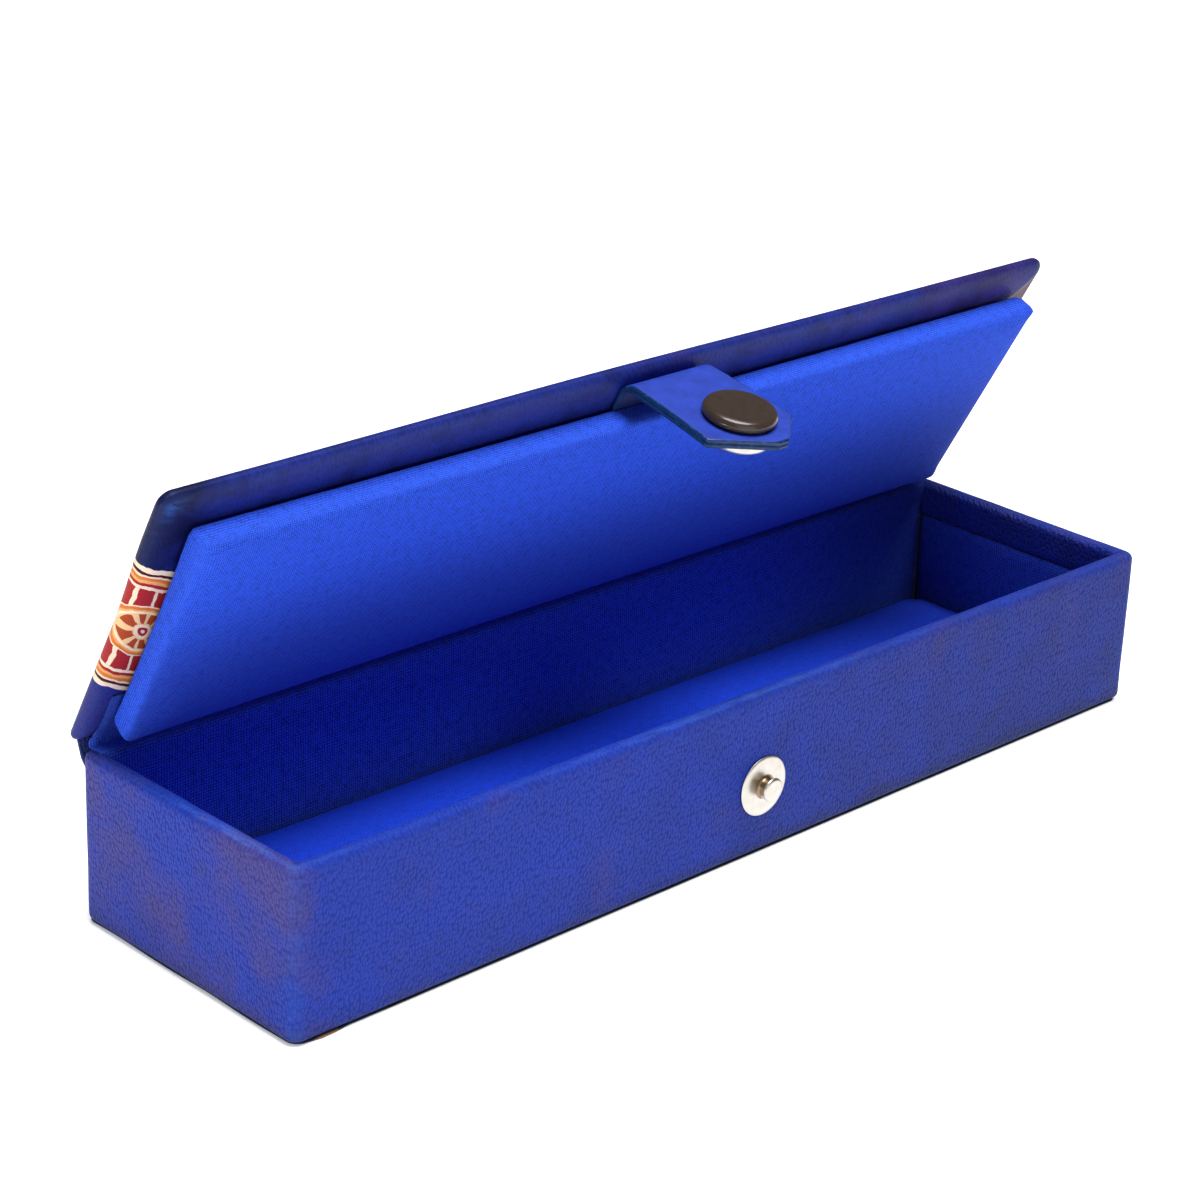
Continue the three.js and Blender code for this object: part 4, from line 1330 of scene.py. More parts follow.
        # painted shade: darker from 27 mm up, over the bend to the lid
        painted_shade = 0.2 + 1.1 * smooth_step(27, 31, top[..., 2])
        marks = {"hide": hide, "wear": wear, "violet": np.full(wear.shape, -0.1), "painted_shade": painted_shade}
        marks = {mark: on_both(values) for mark, values in marks.items()}
        spine = make_piece("spine_hinge", points, faces, Goatskin(), marks)
        start = (0, high[1] * MM, self.spine_free * MM)
        end = (0, high[1] * MM, (high[2] + self.spine_over) * MM)
        return hinge_piece(spine, (Body.BOX, Body.LID), (start, end), Slot.WALL, "spine_leather")

    def build(self) -> None:
        """Makes the box's leather."""
        seat(self.build_walls(), Body.BOX, Slot.WALL, "wall_leather")
        seat(self.build_bottom(), Body.BOX, Slot.BOTTOM, "bottom_leather")
        self.build_spine()


@dataclass
class Linings:
    """Cloth-covered cards on three walls, and the cloth leaf of the hinge on the fourth."""

    card_round: float = 0.25
    card_edge: float = 0.4
    card_columns: tuple[int, int] = (90, 26)  # on the long and the short walls
    rumple: float = 0.06
    leaf_end: float = 103.4  # stops short of the end walls, so the corner shows a dark gap
    leaf_rim_end: float = 105.4
    leaf_lid_end: float = 104.1
    leaf_thick: float = 0.3
    leaf_thin: float = 0.09  # where it folds into the hinge
    leaf_on_lid: float = 12.0
    leaf_lid_steps: int = 8
    leaf_round: float = 1.1  # over the rim
    leaf_crease: float = 0.7  # its crease lies this far inside the hinge's axis
    leaf_rise: float = 0.9  # and it meets the lid this far out from the axis
    leaf_columns: int = 91
    fold_start: float = 0.15  # height above the rim
    fold: float = 0.9
    pucker: float = 0.4  # how far its ends bunch up on the lid
    pucker_from: float = 97.0
    pucker_full: float = 101.0
    shaded_from: float = 100.0  # painted shade on its ends on the lid beyond this
    right_end_shade: float = 0.68  # how far painted shade darkens the right end
    cloth: Cotton = Cotton(
        "cotton_loose_weave", thread="#3f6cff", gap="#10164a", pitch=0.55, relief=0.3
    )

    def painted_end_shade(self, x: np.ndarray) -> np.ndarray:
        """How far painted shade darkens the cloth towards the right end."""
        return self.right_end_shade * smooth_step(0.4, 1.0, x / self.leaf_rim_end)

    def build_card(self, node: str, long_axis: int) -> Object:
        """Makes one covered card.

        Args:
            node: its CAD node.
            long_axis: 0 where it runs along X, 1 along Y.

        Returns:
            The piece.
        """
        low, high = span(node)
        thin_axis = 1 - long_axis
        inward = -np.sign((low + high)[thin_axis] / 2)
        faces_at = (high, low) if inward > 0 else (low, high)
        count = self.card_columns[long_axis]
        along = np.linspace(low[long_axis], high[long_axis], count)
        inner = np.linspace(low[2] + self.card_edge, high[2] - self.card_edge, 9)
        up = np.concatenate([[low[2]], inner, [high[2]]])
        top = np.zeros((len(up), count, 3))
        top[..., long_axis] = along
        top[..., 2] = up[:, None]
        under = top.copy()
        top[..., thin_axis] = faces_at[0][thin_axis]
        under[..., thin_axis] = faces_at[1][thin_axis]
        soft = np.ones(top.shape[:2])
        soft[[0, -1], :] = 0
        soft[:, [0, -1]] = 0
        top[..., thin_axis] -= inward * self.card_round * (1 - soft)
        top[..., thin_axis] += inward * self.rumple * soft * (ripple(top, 11, 7) - 1)
        points, faces = sheet_solid(top, under)
        cloth = np.stack([points[:, long_axis], points[:, 2], np.zeros(len(points))], axis=1) * MM
        name = node.replace("lining_", "cloth_card_")
        # painted shade towards the right end
        marks = {"cloth": cloth, "painted_cloth_shade": self.painted_end_shade(points[:, 0])}
        card = make_piece(name, points, faces, self.cloth, marks)
        return card

    def leaf_path(self) -> np.ndarray:
        """The leaf's open face in (y, z): up the rear wall, over the rim and the hinge, and up the lid."""
        low = span("hinge_cloth_box")[0]
        rim = span("wall_leather")[1]
        lid = lid_plane()
        face = span_of_lid()[0] - self.leaf_thin
        r = self.leaf_round
        top = rim[2] + self.leaf_thin
        crease = np.array([lid.pivot[0] - self.leaf_crease, top])
        rise = lid.place(0, self.leaf_rise, face)[1:]
        end = lid.place(0, self.leaf_on_lid, face)[1:]
        return np.concatenate([
            [[low[1], low[2]]],
            straight((low[1], low[2]), (low[1], top - r), 16),
            arc((low[1] + r, top - r), r, 180, 90, 5)[1:],
            straight((low[1] + r, top), crease, 3),
            straight(crease, rise, 2),
            straight(rise, end, self.leaf_lid_steps),
        ])

    def build_leaf(self) -> Object:
        """Makes the cloth leaf of the hinge."""
        path = self.leaf_path()
        rim = span("wall_leather")[1][2]
        upper = smooth_step(rim - 3, rim - 1, path[:, 1])
        thick = self.leaf_thick + (self.leaf_thin * 0.9 - self.leaf_thick) * upper
        under = offset(path, -thick)
        tail = slice(-self.leaf_lid_steps - 1, None)
        under[tail] = path[tail] + lid_plane().off * self.leaf_thin * 0.9
        ends = np.interp(
            path[:, 1], [rim - 4, rim - 1.2, rim + 1, rim + 5],
            [self.leaf_end, self.leaf_rim_end, self.leaf_rim_end, self.leaf_lid_end],
        )
        top = drawn_out(path, ends, self.leaf_columns)
        back = drawn_out(under, ends, self.leaf_columns)
        top[..., 1] -= self.rumple * (ripple(top, 13, 8) - 1) * (1 - upper)[:, None]
        on_lid = smooth_step(rim + 0.8, rim + 2.5, path[:, 1])[:, None]
        bunched = smooth_step(self.pucker_from, self.pucker_full, np.abs(top[..., 0]))
        pucker = self.pucker * on_lid * bunched * (1 + ripple(top, 3, 12)) / 2
        top[..., 1:] -= pucker[..., None] * lid_plane().off
        points, faces = sheet_solid(top, back)
        cloth = np.zeros(top.shape)
        cloth[..., 0] = top[..., 0] * MM
        cloth[..., 1] = lengths(path)[:, None] * MM
        # painted shade on the leaf's ends on the lid, a little all over, and more towards the right end
        painted_cloth_shade = smooth_step(rim, rim + 3, path[:, 1])[:, None] * (np.abs(top[..., 0]) > self.shaded_from)
        painted_cloth_shade = np.maximum(painted_cloth_shade, 0.12 + self.painted_end_shade(top[..., 0]))
        marks = {"cloth": on_both(cloth), "painted_cloth_shade": on_both(painted_cloth_shade)}
        leaf = make_piece("hinge_cloth", points, faces, self.cloth, marks)
        crease = rim + self.fold_start
        ends = ((0, 0, crease * MM), (0, 0, (crease + self.fold) * MM))
        hinge_piece(leaf, (Body.BOX, Body.LID), ends, Slot.COTTON, "hinge_cloth_box", "hinge_cloth_lid")
        return leaf

    def build(self) -> None:
        """Makes the linings."""
        for node, long_axis in {"lining_front": 0, "lining_left": 1, "lining_right": 1}.items():
            seat(self.build_card(node, long_axis), Body.BOX, Slot.COTTON, node)
        self.build_leaf()


COVER_SETTINGS = {
    "quality": 4,
    "mass": 0.3,
    "tension_stiffness": 12,
    "compression_stiffness": 12,
    "bending_stiffness": 0.4,
    "use_pressure": True,
    "uniform_pressure_force": 4,
}


@dataclass
class Pad:
    """A card with foam under stretched cotton, crowned, its sides drawn in between the corners."""

    name: str
    half_x: float
    half_y: float
    shoulder: float
    crown: float
    fill: float
    cloth: Cotton = Cotton()
    corner: float = 1.7
    least_corner: float = 0.6
    edge: float = 1.0
    ridge: float = 1.0  # half the width left flat along the middle
    crown_power: float = 2.4
    tuck: float = 0.6
    draw_in: float = 0.4
    belly: float = 0.74
    voxel: float = 0.95
    swell_cap: float = 0.45
    scale_up: float = 10.0  # the cloth solver works on a larger copy
    glued: float = 0.6  # height up to which the cover is glued to its card
    frames: int = 14
    painted_cloth_shade: float = 0.0  # how far painted shade darkens the right end
    low_face_shade: float = 0.0  # and painted shade on the half of the face at -Y
    steps: RingSteps = field(default_factory=lambda: RingSteps(80, 20, 6))

    def form(self) -> tuple[np.ndarray, list[list[int]]]:
        """The pad standing on z = 0: its points and faces."""
        low = self.belly * self.shoulder
        stations = [(self.half_y - self.ridge, 0.0), (self.tuck + 0.8, 0.0), (self.tuck, 0.25)]
        for turn in np.radians(np.linspace(0, 90, 8)):
            height = low + (self.shoulder - low) * math.sin(turn)
            stations.append((self.edge * (1 - math.cos(turn)), height))
        for share in np.linspace(0, 1, 13)[1:]:
            inset = self.edge + share * (self.half_y - self.edge - self.ridge)
            height = self.shoulder + self.crown * (1 - (1 - share) ** self.crown_power)
            stations.append((inset, height))
        grid = rings((self.half_x, self.half_y), stations, self.corner, self.least_corner, self.steps)
        pull_y = 1 - self.draw_in / self.half_y * (1 - (grid[..., 0] / self.half_x) ** 2)
        pull_x = 1 - self.draw_in / self.half_x * (1 - (grid[..., 1] / self.half_y) ** 2)
        grid[..., 0] *= pull_x
        grid[..., 1] *= pull_y
        return skin(grid, False)

    def build(self) -> Object:
        points, faces = self.form()
        pad = make_piece(self.name, points, faces, self.cloth)
        self.stretch(pad)
        self.mark(pad)
        return pad

    def stretch(self, pad: Object) -> None:
        """Blows the cover up against its foam and keeps the result, within the cap.

        Args:
            pad: the pad, changed in place.
        """
        remesh = pad.modifiers.new("voxels", "REMESH")
        remesh.mode = "VOXEL"
        remesh.voxel_size = self.voxel * MM
        self.apply(pad)
        mesh = pad.data
        start = mesh_points(mesh)
        mesh.vertices.foreach_set("co", (start * self.scale_up).ravel())
        held = pad.vertex_groups.new(name="glued")
        under = np.flatnonzero(start[:, 2] < self.glued * MM)
        held.add([int(i) for i in under], 1.0, "REPLACE")
        cloth = pad.modifiers.new("cover", "CLOTH")
        for setting, value in COVER_SETTINGS.items():
            setattr(cloth.settings, setting, value)
        cloth.settings.effector_weights.gravity = 0
        cloth.settings.vertex_group_mass = held.name
        cloth.point_cache.frame_start = 1
        cloth.point_cache.frame_end = self.frames
        for step in range(1, self.frames + 1):
            bpy.context.scene.frame_set(step)
        self.apply(pad)
        bpy.context.scene.frame_set(1)
        mesh = pad.data
        shift = mesh_points(mesh) / self.scale_up - start
        far = np.linalg.norm(shift, axis=1)
        cap = self.swell_cap * MM
        shift *= (cap * np.tanh(far / cap) / np.maximum(far, 1e-9))[:, None]
        mesh.vertices.foreach_set("co", (start + shift).ravel())
        pad.vertex_groups.clear()
        mesh.shade_smooth()

    def apply(self, pad: Object) -> None:
        """Turns the pad's modifiers into its mesh."""
        graph = bpy.context.evaluated_depsgraph_get()
        made = bpy.data.meshes.new_from_object(pad.evaluated_get(graph), depsgraph=graph)
        pad.modifiers.clear()
        old = pad.data
        pad.data = made
        bpy.data.meshes.remove(old)

    def mark(self, pad: Object) -> None:
        """Lays the weave over the pad: flat on top and on down its sides; marks its painted shade."""
        x, y, z = mesh_points(pad.data).T / MM
        drop = np.maximum(self.shoulder - z, 0)
        end_gap, side_gap = self.half_x - np.abs(x), self.half_y - np.abs(y)
        at_end = end_gap < side_gap
        u = x + np.where(at_end, np.sign(x) * drop, 0)
        v = y + np.where(at_end, 0, np.sign(y) * drop)
        put_mark(pad.data, "cloth", np.stack([u, v, 0 * z], axis=1) * MM)
        # painted shade: darker towards the right end, and over the lower half of the face
        right_shade = self.painted_cloth_shade * smooth_step(0.25, 0.9, x / self.half_x)
        on_face = smooth_step(self.shoulder - 1.2, self.shoulder - 0.1, z)
        lower_shade = self.low_face_shade * smooth_step(-0.6, 0.45, -y / self.half_y)
        put_mark(pad.data, "painted_cloth_shade", right_shade + lower_shade * on_face)


@dataclass
class Pads:
    """The pad on the floor and the pad on the lid."""

    floor_gap: float = 0.05
    lid_shift: float = 0.1  # glued a little to the right
    lid_drop: float = 0.35  # and towards the hinge
    lid_grow: tuple[float, float] = (0.7, 0.5)  # thicker cloth at the ends and at the sides

    def build_base(self) -> Object:
        """Makes the pad on the floor of the box."""
        low, high = span("base_pad_cover")
        half = (high - low) / 2
        cover = Cotton("cotton_floor_cover", thread="#2a58ff", gap="#0c1668", full=0.4, shine=0.05)
        pad = Pad(
            # painted shade darkens this pad towards its right end
            "base_pad", half[0], half[1], shoulder=3.3, crown=2.2, fill=0.6, cloth=cover, corner=5.0,
            painted_cloth_shade=1.0,
        ).build()
        middle = (low + high) / 2
        pad.location = (0, middle[1] * MM, (low[2] + self.floor_gap) * MM)
        return seat(pad, Body.BOX, Slot.COTTON, "base_pad_foam", "base_pad_cover", "base_pad_card")

    def build_lid(self) -> Object:
        """Makes the pad on the lid's inner face."""
        lid = lid_plane()
        half_x = mesh_points(frame["nodes"]["lid_pad_cover"].data)[:, 0].max() / MM
        low, high = span_in(lid, "lid_pad_cover")
        half_y = (high[0] - low[0]) / 2
        # painted shade darkens the lower half of this pad's face
        pad = Pad(
            "lid_pad", half_x + self.lid_grow[0], half_y + self.lid_grow[1], shoulder=5.1, crown=0.4,
            fill=0.75, low_face_shade=0.62,
        ).build()
        origin = lid.place(self.lid_shift, (low[0] + high[0]) / 2 - self.lid_drop, high[1])
        axes = Matrix.Identity(4)
        axes.col[0] = (1, 0, 0, 0)
        axes.col[1] = (0, *lid.along, 0)
        axes.col[2] = (0, *(-lid.off), 0)
        axes.translation = Vector(origin * MM)
        pad.matrix_world = axes
        return seat(pad, Body.LID, Slot.COTTON, "lid_pad_foam", "lid_pad_cover", "lid_pad_card")

    def build(self) -> None:
        """Makes both pads."""
        self.build_base()
        self.build_lid()


@dataclass
class LidCover:
    """Leather drawn over the lid's board, round its edges and on to its inner face."""

    corner: float = 3.0
    hinge_corner: float = 1.3
    edge_round: float = 1.55
    roll: float = 4.6  # breadth of the rounded edge on the inner side
    sag: float = 0.45  # the hinge edge's leather below its board
    unevenness: float = 0.12
    edge_steps: int = 6
    face_rings: int = 10
    left_trim: float = 1.0  # the left end was cut short towards the hinge
    trim_fade: tuple[float, float] = (28.0, 50.0)  # and less so between these distances from it
    spread: float = 0.5  # leather beyond the board's wrap at the free edge
    bow: float = 0.75
    bow_middle: float = -12
    bow_width: float = 45
    border_middle: float = 30.6  # the border's centre line, from the hinge
    border_start: float = -114.8  # a rosette's centre, on the strip turned in at the left end
    strip_step: float = 0.3  # the strip at the right end lies under the one along the free edge
    border_skew: float = 0.42  # the strip was pulled askew when it was turned in
    steps: RingSteps = field(default_factory=RingSteps)

    def section(self, depth: float) -> np.ndarray:
        """The cut section's insets from the outline, and its heights.

        Args:
            depth: how far under the leather's face.

        Returns:
            Points from the outer face round the edge to the inner face.
        """
        inner, outer, start, end = span_of_lid()
        inner, outer = inner + depth, outer - depth
        r = min(self.edge_round, (outer - inner) / 2)
        deep = outer - r - inner
        faces_in = np.linspace((end - start) / 2 - 1.5 - depth, 4, self.face_rings)
        section = [(d, outer) for d in faces_in]
        section += [(r - p[0], outer - r + p[1]) for p in arc((0, 0), r, 90, 0, self.edge_steps)]
        section += [
            (self.roll * (1 - p[0]), inner + deep + deep * p[1]) for p in arc((0, 0), 1, 0, -90, 9)[1:]
        ]
        section += [(d, inner) for d in faces_in[::-1] if d > self.roll + 1]
        return np.array(section) + (depth, 0)

    def loop(self, inset: float, u: float) -> tuple[np.ndarray, np.ndarray]:
        """One ring of the cover in the lid's plane.

        Args:
            inset: how far inside the outline.
            u: its height.

        Returns:
            Places along the lid, and distances from the hinge.
        """
        inner, outer, start, end = span_of_lid()
        half_x = span("lid_leather")[1][0]
        half_a, middle = (end - start) / 2, (end + start) / 2
        flat = ring(
            half_x - inset, half_a - inset, max(self.corner - inset, 0.5), self.steps,
            max(self.hinge_corner - inset, 0.4),
        )
        x, a = flat[:, 0], middle + flat[:, 1]
        wave = ripple(np.column_stack([x, a * 0, a * 0]), 60, 9)
        swell = self.spread + self.bow * np.exp(-(((x - self.bow_middle) / self.bow_width) ** 2))
        a = a + (swell - self.unevenness * wave) * smooth_step(middle, end, a)
        low = smooth_step(inner + 0.5, outer - 0.5, np.array(u))
        at_left = smooth_step(half_x - 8, half_x - 1, -x)
        x = x + self.left_trim * at_left * (1 - smooth_step(*self.trim_fade, a))
        return x, a - self.sag * low * (1 - smooth_step(start, start + 5, a))

    def build_board(self) -> None:
        """Makes the board inside the cover, its edges sanded round."""
        lid = lid_plane()
        rows = [lid.place(*self.loop(d, u), u) for d, u in self.section(LEATHER + GLUE)]
        points, faces = skin(np.array(rows), False)
        seat(make_piece("lid_board_core", points, faces, Board()), Body.LID, Slot.BOARD, "lid_board")

    def build_cover(self) -> None:
        """Makes the leather cover."""
        end = span_of_lid()[3]
        half_x = span("lid_leather")[1][0]
        r = self.edge_round
        section = self.section(0)
        walk = lengths(section)
        edge = int(np.argmax(section[:, 0] <= r + 1e-6))
        crest = walk[edge + self.edge_steps]
        lid = lid_plane()
        rows = []
        marks = {mark: [] for mark in ("border", "hide", "wear", "violet", "painted_shade", "flesh")}
        for k, (d, u) in enumerate(section):
            x, a = self.loop(d, u)
            flat_x = np.clip(x, -half_x + d, half_x - d)
            flat_x = np.where(x < -half_x + d + self.left_trim + 0.01, -half_x + d, flat_x)
            past = walk[k] - walk[edge]
            at_end = np.abs(flat_x) > half_x - d - 1e-3
            right_strip = (at_end & (x > 0)) * float(smooth_step(crest + 1, crest + 4, walk[k]))
            rows.append(lid.place(x, a, u + self.strip_step * right_strip))
            low_left = (1 - smooth_step(-half_x + 2, -half_x + 10, x)) * (1 - smooth_step(12, 17, a))
            marks["flesh"].append(right_strip + 0.08 * low_left)
            s = np.where((past > 0) & at_end, np.sign(x) * (half_x - r + past), x)
            askew = self.border_skew * max(walk[k] - crest, 0)
            on_border = [s - self.border_start, a - self.border_middle + askew, 0 * x]
            marks["border"].append(np.column_stack(on_border))
            marks["hide"].append(np.column_stack([s * MM, a * MM + 0.2, 0 * x]))
            on_edge = math.exp(-(((walk[k] - crest - 1.5) / 1.6) ** 2))
            corner = np.exp(-(((np.abs(x) - half_x + 2.4) / 1.5) ** 2) - ((a - end + 2.0) / 1.5) ** 2)
            marks["wear"].append(0.12 * on_edge + 0.9 * on_edge * corner * np.where(x < 0, 1, 0.4))
            marks["violet"].append(0.65 * smooth_step(-60, 0.6 * half_x, x) + 0.3 * low_left - 0.35)
            # painted shade: darker at the far left above the border, towards the right and at the right free
            # corner
            far_left = (1 - smooth_step(-half_x, -half_x + 20, x)) * smooth_step(38, 48, a)
            tip = smooth_step(half_x - 3.5, half_x - 1, x) * smooth_step(end - 4, end - 1, a)
            marks["painted_shade"].append(1.2 * far_left + 0.25 * smooth_step(40, half_x, x) + 1.2 * tip - 0.1)
        points, faces = skin(np.array(rows), False)
        joined = {mark: np.concatenate(values) for mark, values in marks.items()}
        cover = make_piece("lid_cover", points, faces, BorderedGoatskin(), joined)
        seat(cover, Body.LID, Slot.LID, "lid_leather")

    def build(self) -> None:
        """Makes the lid's board and cover."""
        self.build_board()
        self.build_cover()


@dataclass
class Strap:
    """Two plies of hide, bent round at the root, with painted edges."""

    ply: float = 0.82
    lift: float = 1.0  # degrees that the tongue springs up
    bend_radius: float = 3.3
    tuck: float = 11.0  # how far it starts inside the pad's edge
    backing_start: int = 13  # the point on the line between the plies where the backing starts
    curve_end: int = 22  # and the point where it has its full thickness
    skived: float = 0.1
    taper: float = 6.4
    neck: float = 18.0  # distances from the tip at which its width was cut
    root: float = 27.0
    bend_from: float = 2.4  # the bend starts beyond the pad's edge
    bend_level: float = -1.2
    bend_to: float = 1.2
    trim: float = 0.9  # cut shorter than the pattern
    left_swell: float = 0.9  # cut a little wide on the left of the tongue
    tip_left: float = 0.6
    tip_right: float = 2.7
    edge_soft: float = 0.16

    def path(self) -> tuple[np.ndarray, np.ndarray]:
        """The line between the plies.

        Returns:
            Points in (y, z), and how far each lies from the tip.
        """
        lid, tongue = lid_plane(), tongue_plane()
        degrees = STRAP_BEND - self.lift
        bend = math.radians(degrees)
        root = span_in(lid, "strap_root")
        pad_end = span_in(lid, "lid_pad_cover")[1][0]
        reach = span_in(tongue, "strap_face")[1][0] - self.trim
        u = root[0][1] - GLUE / 2
        pivot = np.array([(tongue.pivot - lid.pivot) @ lid.along, (tongue.pivot - lid.pivot) @ lid.off])
        heading = np.array([math.cos(bend), -math.sin(bend)])
        corner = pivot + heading * (u - pivot[1]) / heading[1]
        back = self.bend_radius * math.tan(bend / 2)
        centre = np.array([corner[0] - back, u - self.bend_radius])
        curve = arc(centre, self.bend_radius, 90, 90 - degrees, 12)
        start = (pad_end - self.tuck, u)
        flat = np.concatenate([
            [start],
            straight(start, curve[0], 10),
            curve[1:],  # ends at the point numbered curve_end
            straight(curve[-1], pivot + heading * reach, 24),
        ])
        spots = lid.place(0, flat[:, 0], flat[:, 1])[:, 1:]
        return spots, lengths(spots)[-1] - lengths(spots)

    def build_ply(self, name: str, side: int, *nodes: str) -> Object:
        """Makes one ply.

        Args:
            name: the piece's name.
            side: 1 for the face with the cap, -1 for the backing.
            nodes: the CAD nodes that it stands for.

        Returns:
            The piece.
        """
        path, to_tip = self.path()
        near = offset(path, -side * GLUE / 2)
        thick = np.full(len(path), self.ply)
        if side < 0:
            thick[: self.curve_end + 1] = np.interp(
                np.arange(self.curve_end + 1), [self.backing_start, self.curve_end - 1],
                [self.skived, self.ply],
            )
        far = offset(path, -side * (GLUE / 2 + thick))
        first = self.backing_start if side < 0 else 0
        to_tip, near, far = to_tip[first:], near[first:], far[first:]
        half = span("strap_face")[1][0]
        cuts = [0, self.taper, self.neck, self.root]
        left = np.interp(to_tip, cuts, [self.tip_left, -half - self.left_swell, -half, -half + 0.3])
        right = np.interp(to_tip, cuts, [self.tip_right, half, half - 0.1, half - 0.5])
        rim = np.array([0.95, 0.985, 1])
        shares = np.concatenate([-rim[::-1], np.linspace(-0.88, 0.88, 17), rim])
        soft = np.interp(np.abs(shares), rim, [0, 0.35, 1]) * self.edge_soft
        end_soft = np.interp(to_tip, [0, 0.25], [1, 0]) * self.edge_soft
        lowered = np.maximum(soft[None, :], end_soft[:, None])
        thin = (near - far) / np.linalg.norm(near - far, axis=1)[:, None]
        faces_of = []
        for line, drop in ((far, lowered), (near, np.zeros(lowered.shape))):
            y = line[:, None, 0] + thin[:, None, 0] * drop
            z = line[:, None, 1] + thin[:, None, 1] * drop
            x = left[:, None] + (right - left)[:, None] * (shares[None, :] + 1) / 2
            faces_of.append(np.stack([x, y, z], axis=-1))
        points, faces = sheet_solid(*faces_of)
        hide = np.zeros((*lowered.shape, 3))
        hide[..., 0] = faces_of[0][..., 0] * MM
        hide[..., 1] = to_tip[:, None] * MM
        edge = np.maximum(
            np.interp(np.abs(shares), rim[:2], [0, 1])[None, :],
            np.interp(to_tip, [0.05, 0.35], [1, 0])[:, None],
        )
        flat = hide.reshape(-1, 3)
        marks = {
            "hide": np.concatenate([flat, flat + (0, 0, 0.01)]),
            "edge": on_both(edge),
            # painted shade: marks the underside faces
            "under": np.repeat([float(side < 0), float(side > 0)], edge.size),
        }
        ply = make_piece(name, points, faces, StrapHide(), marks)
        lid, tongue = lid_plane(), tongue_plane()
        pad_end = span_in(lid, "lid_pad_cover")[1][0]
        start = lid.place(0, pad_end + self.bend_from, self.bend_level)
        end = tongue.place(0, self.bend_to, 0)
        return hinge_piece(ply, (Body.LID, Body.STRAP), (start * MM, end * MM), Slot.STRAP, *nodes)

    def build(self) -> None:
        """Makes both plies."""
        self.build_ply("strap_face_ply", 1, "strap_face", "strap_root")
        self.build_ply("strap_backing_ply", -1, "strap_backing")


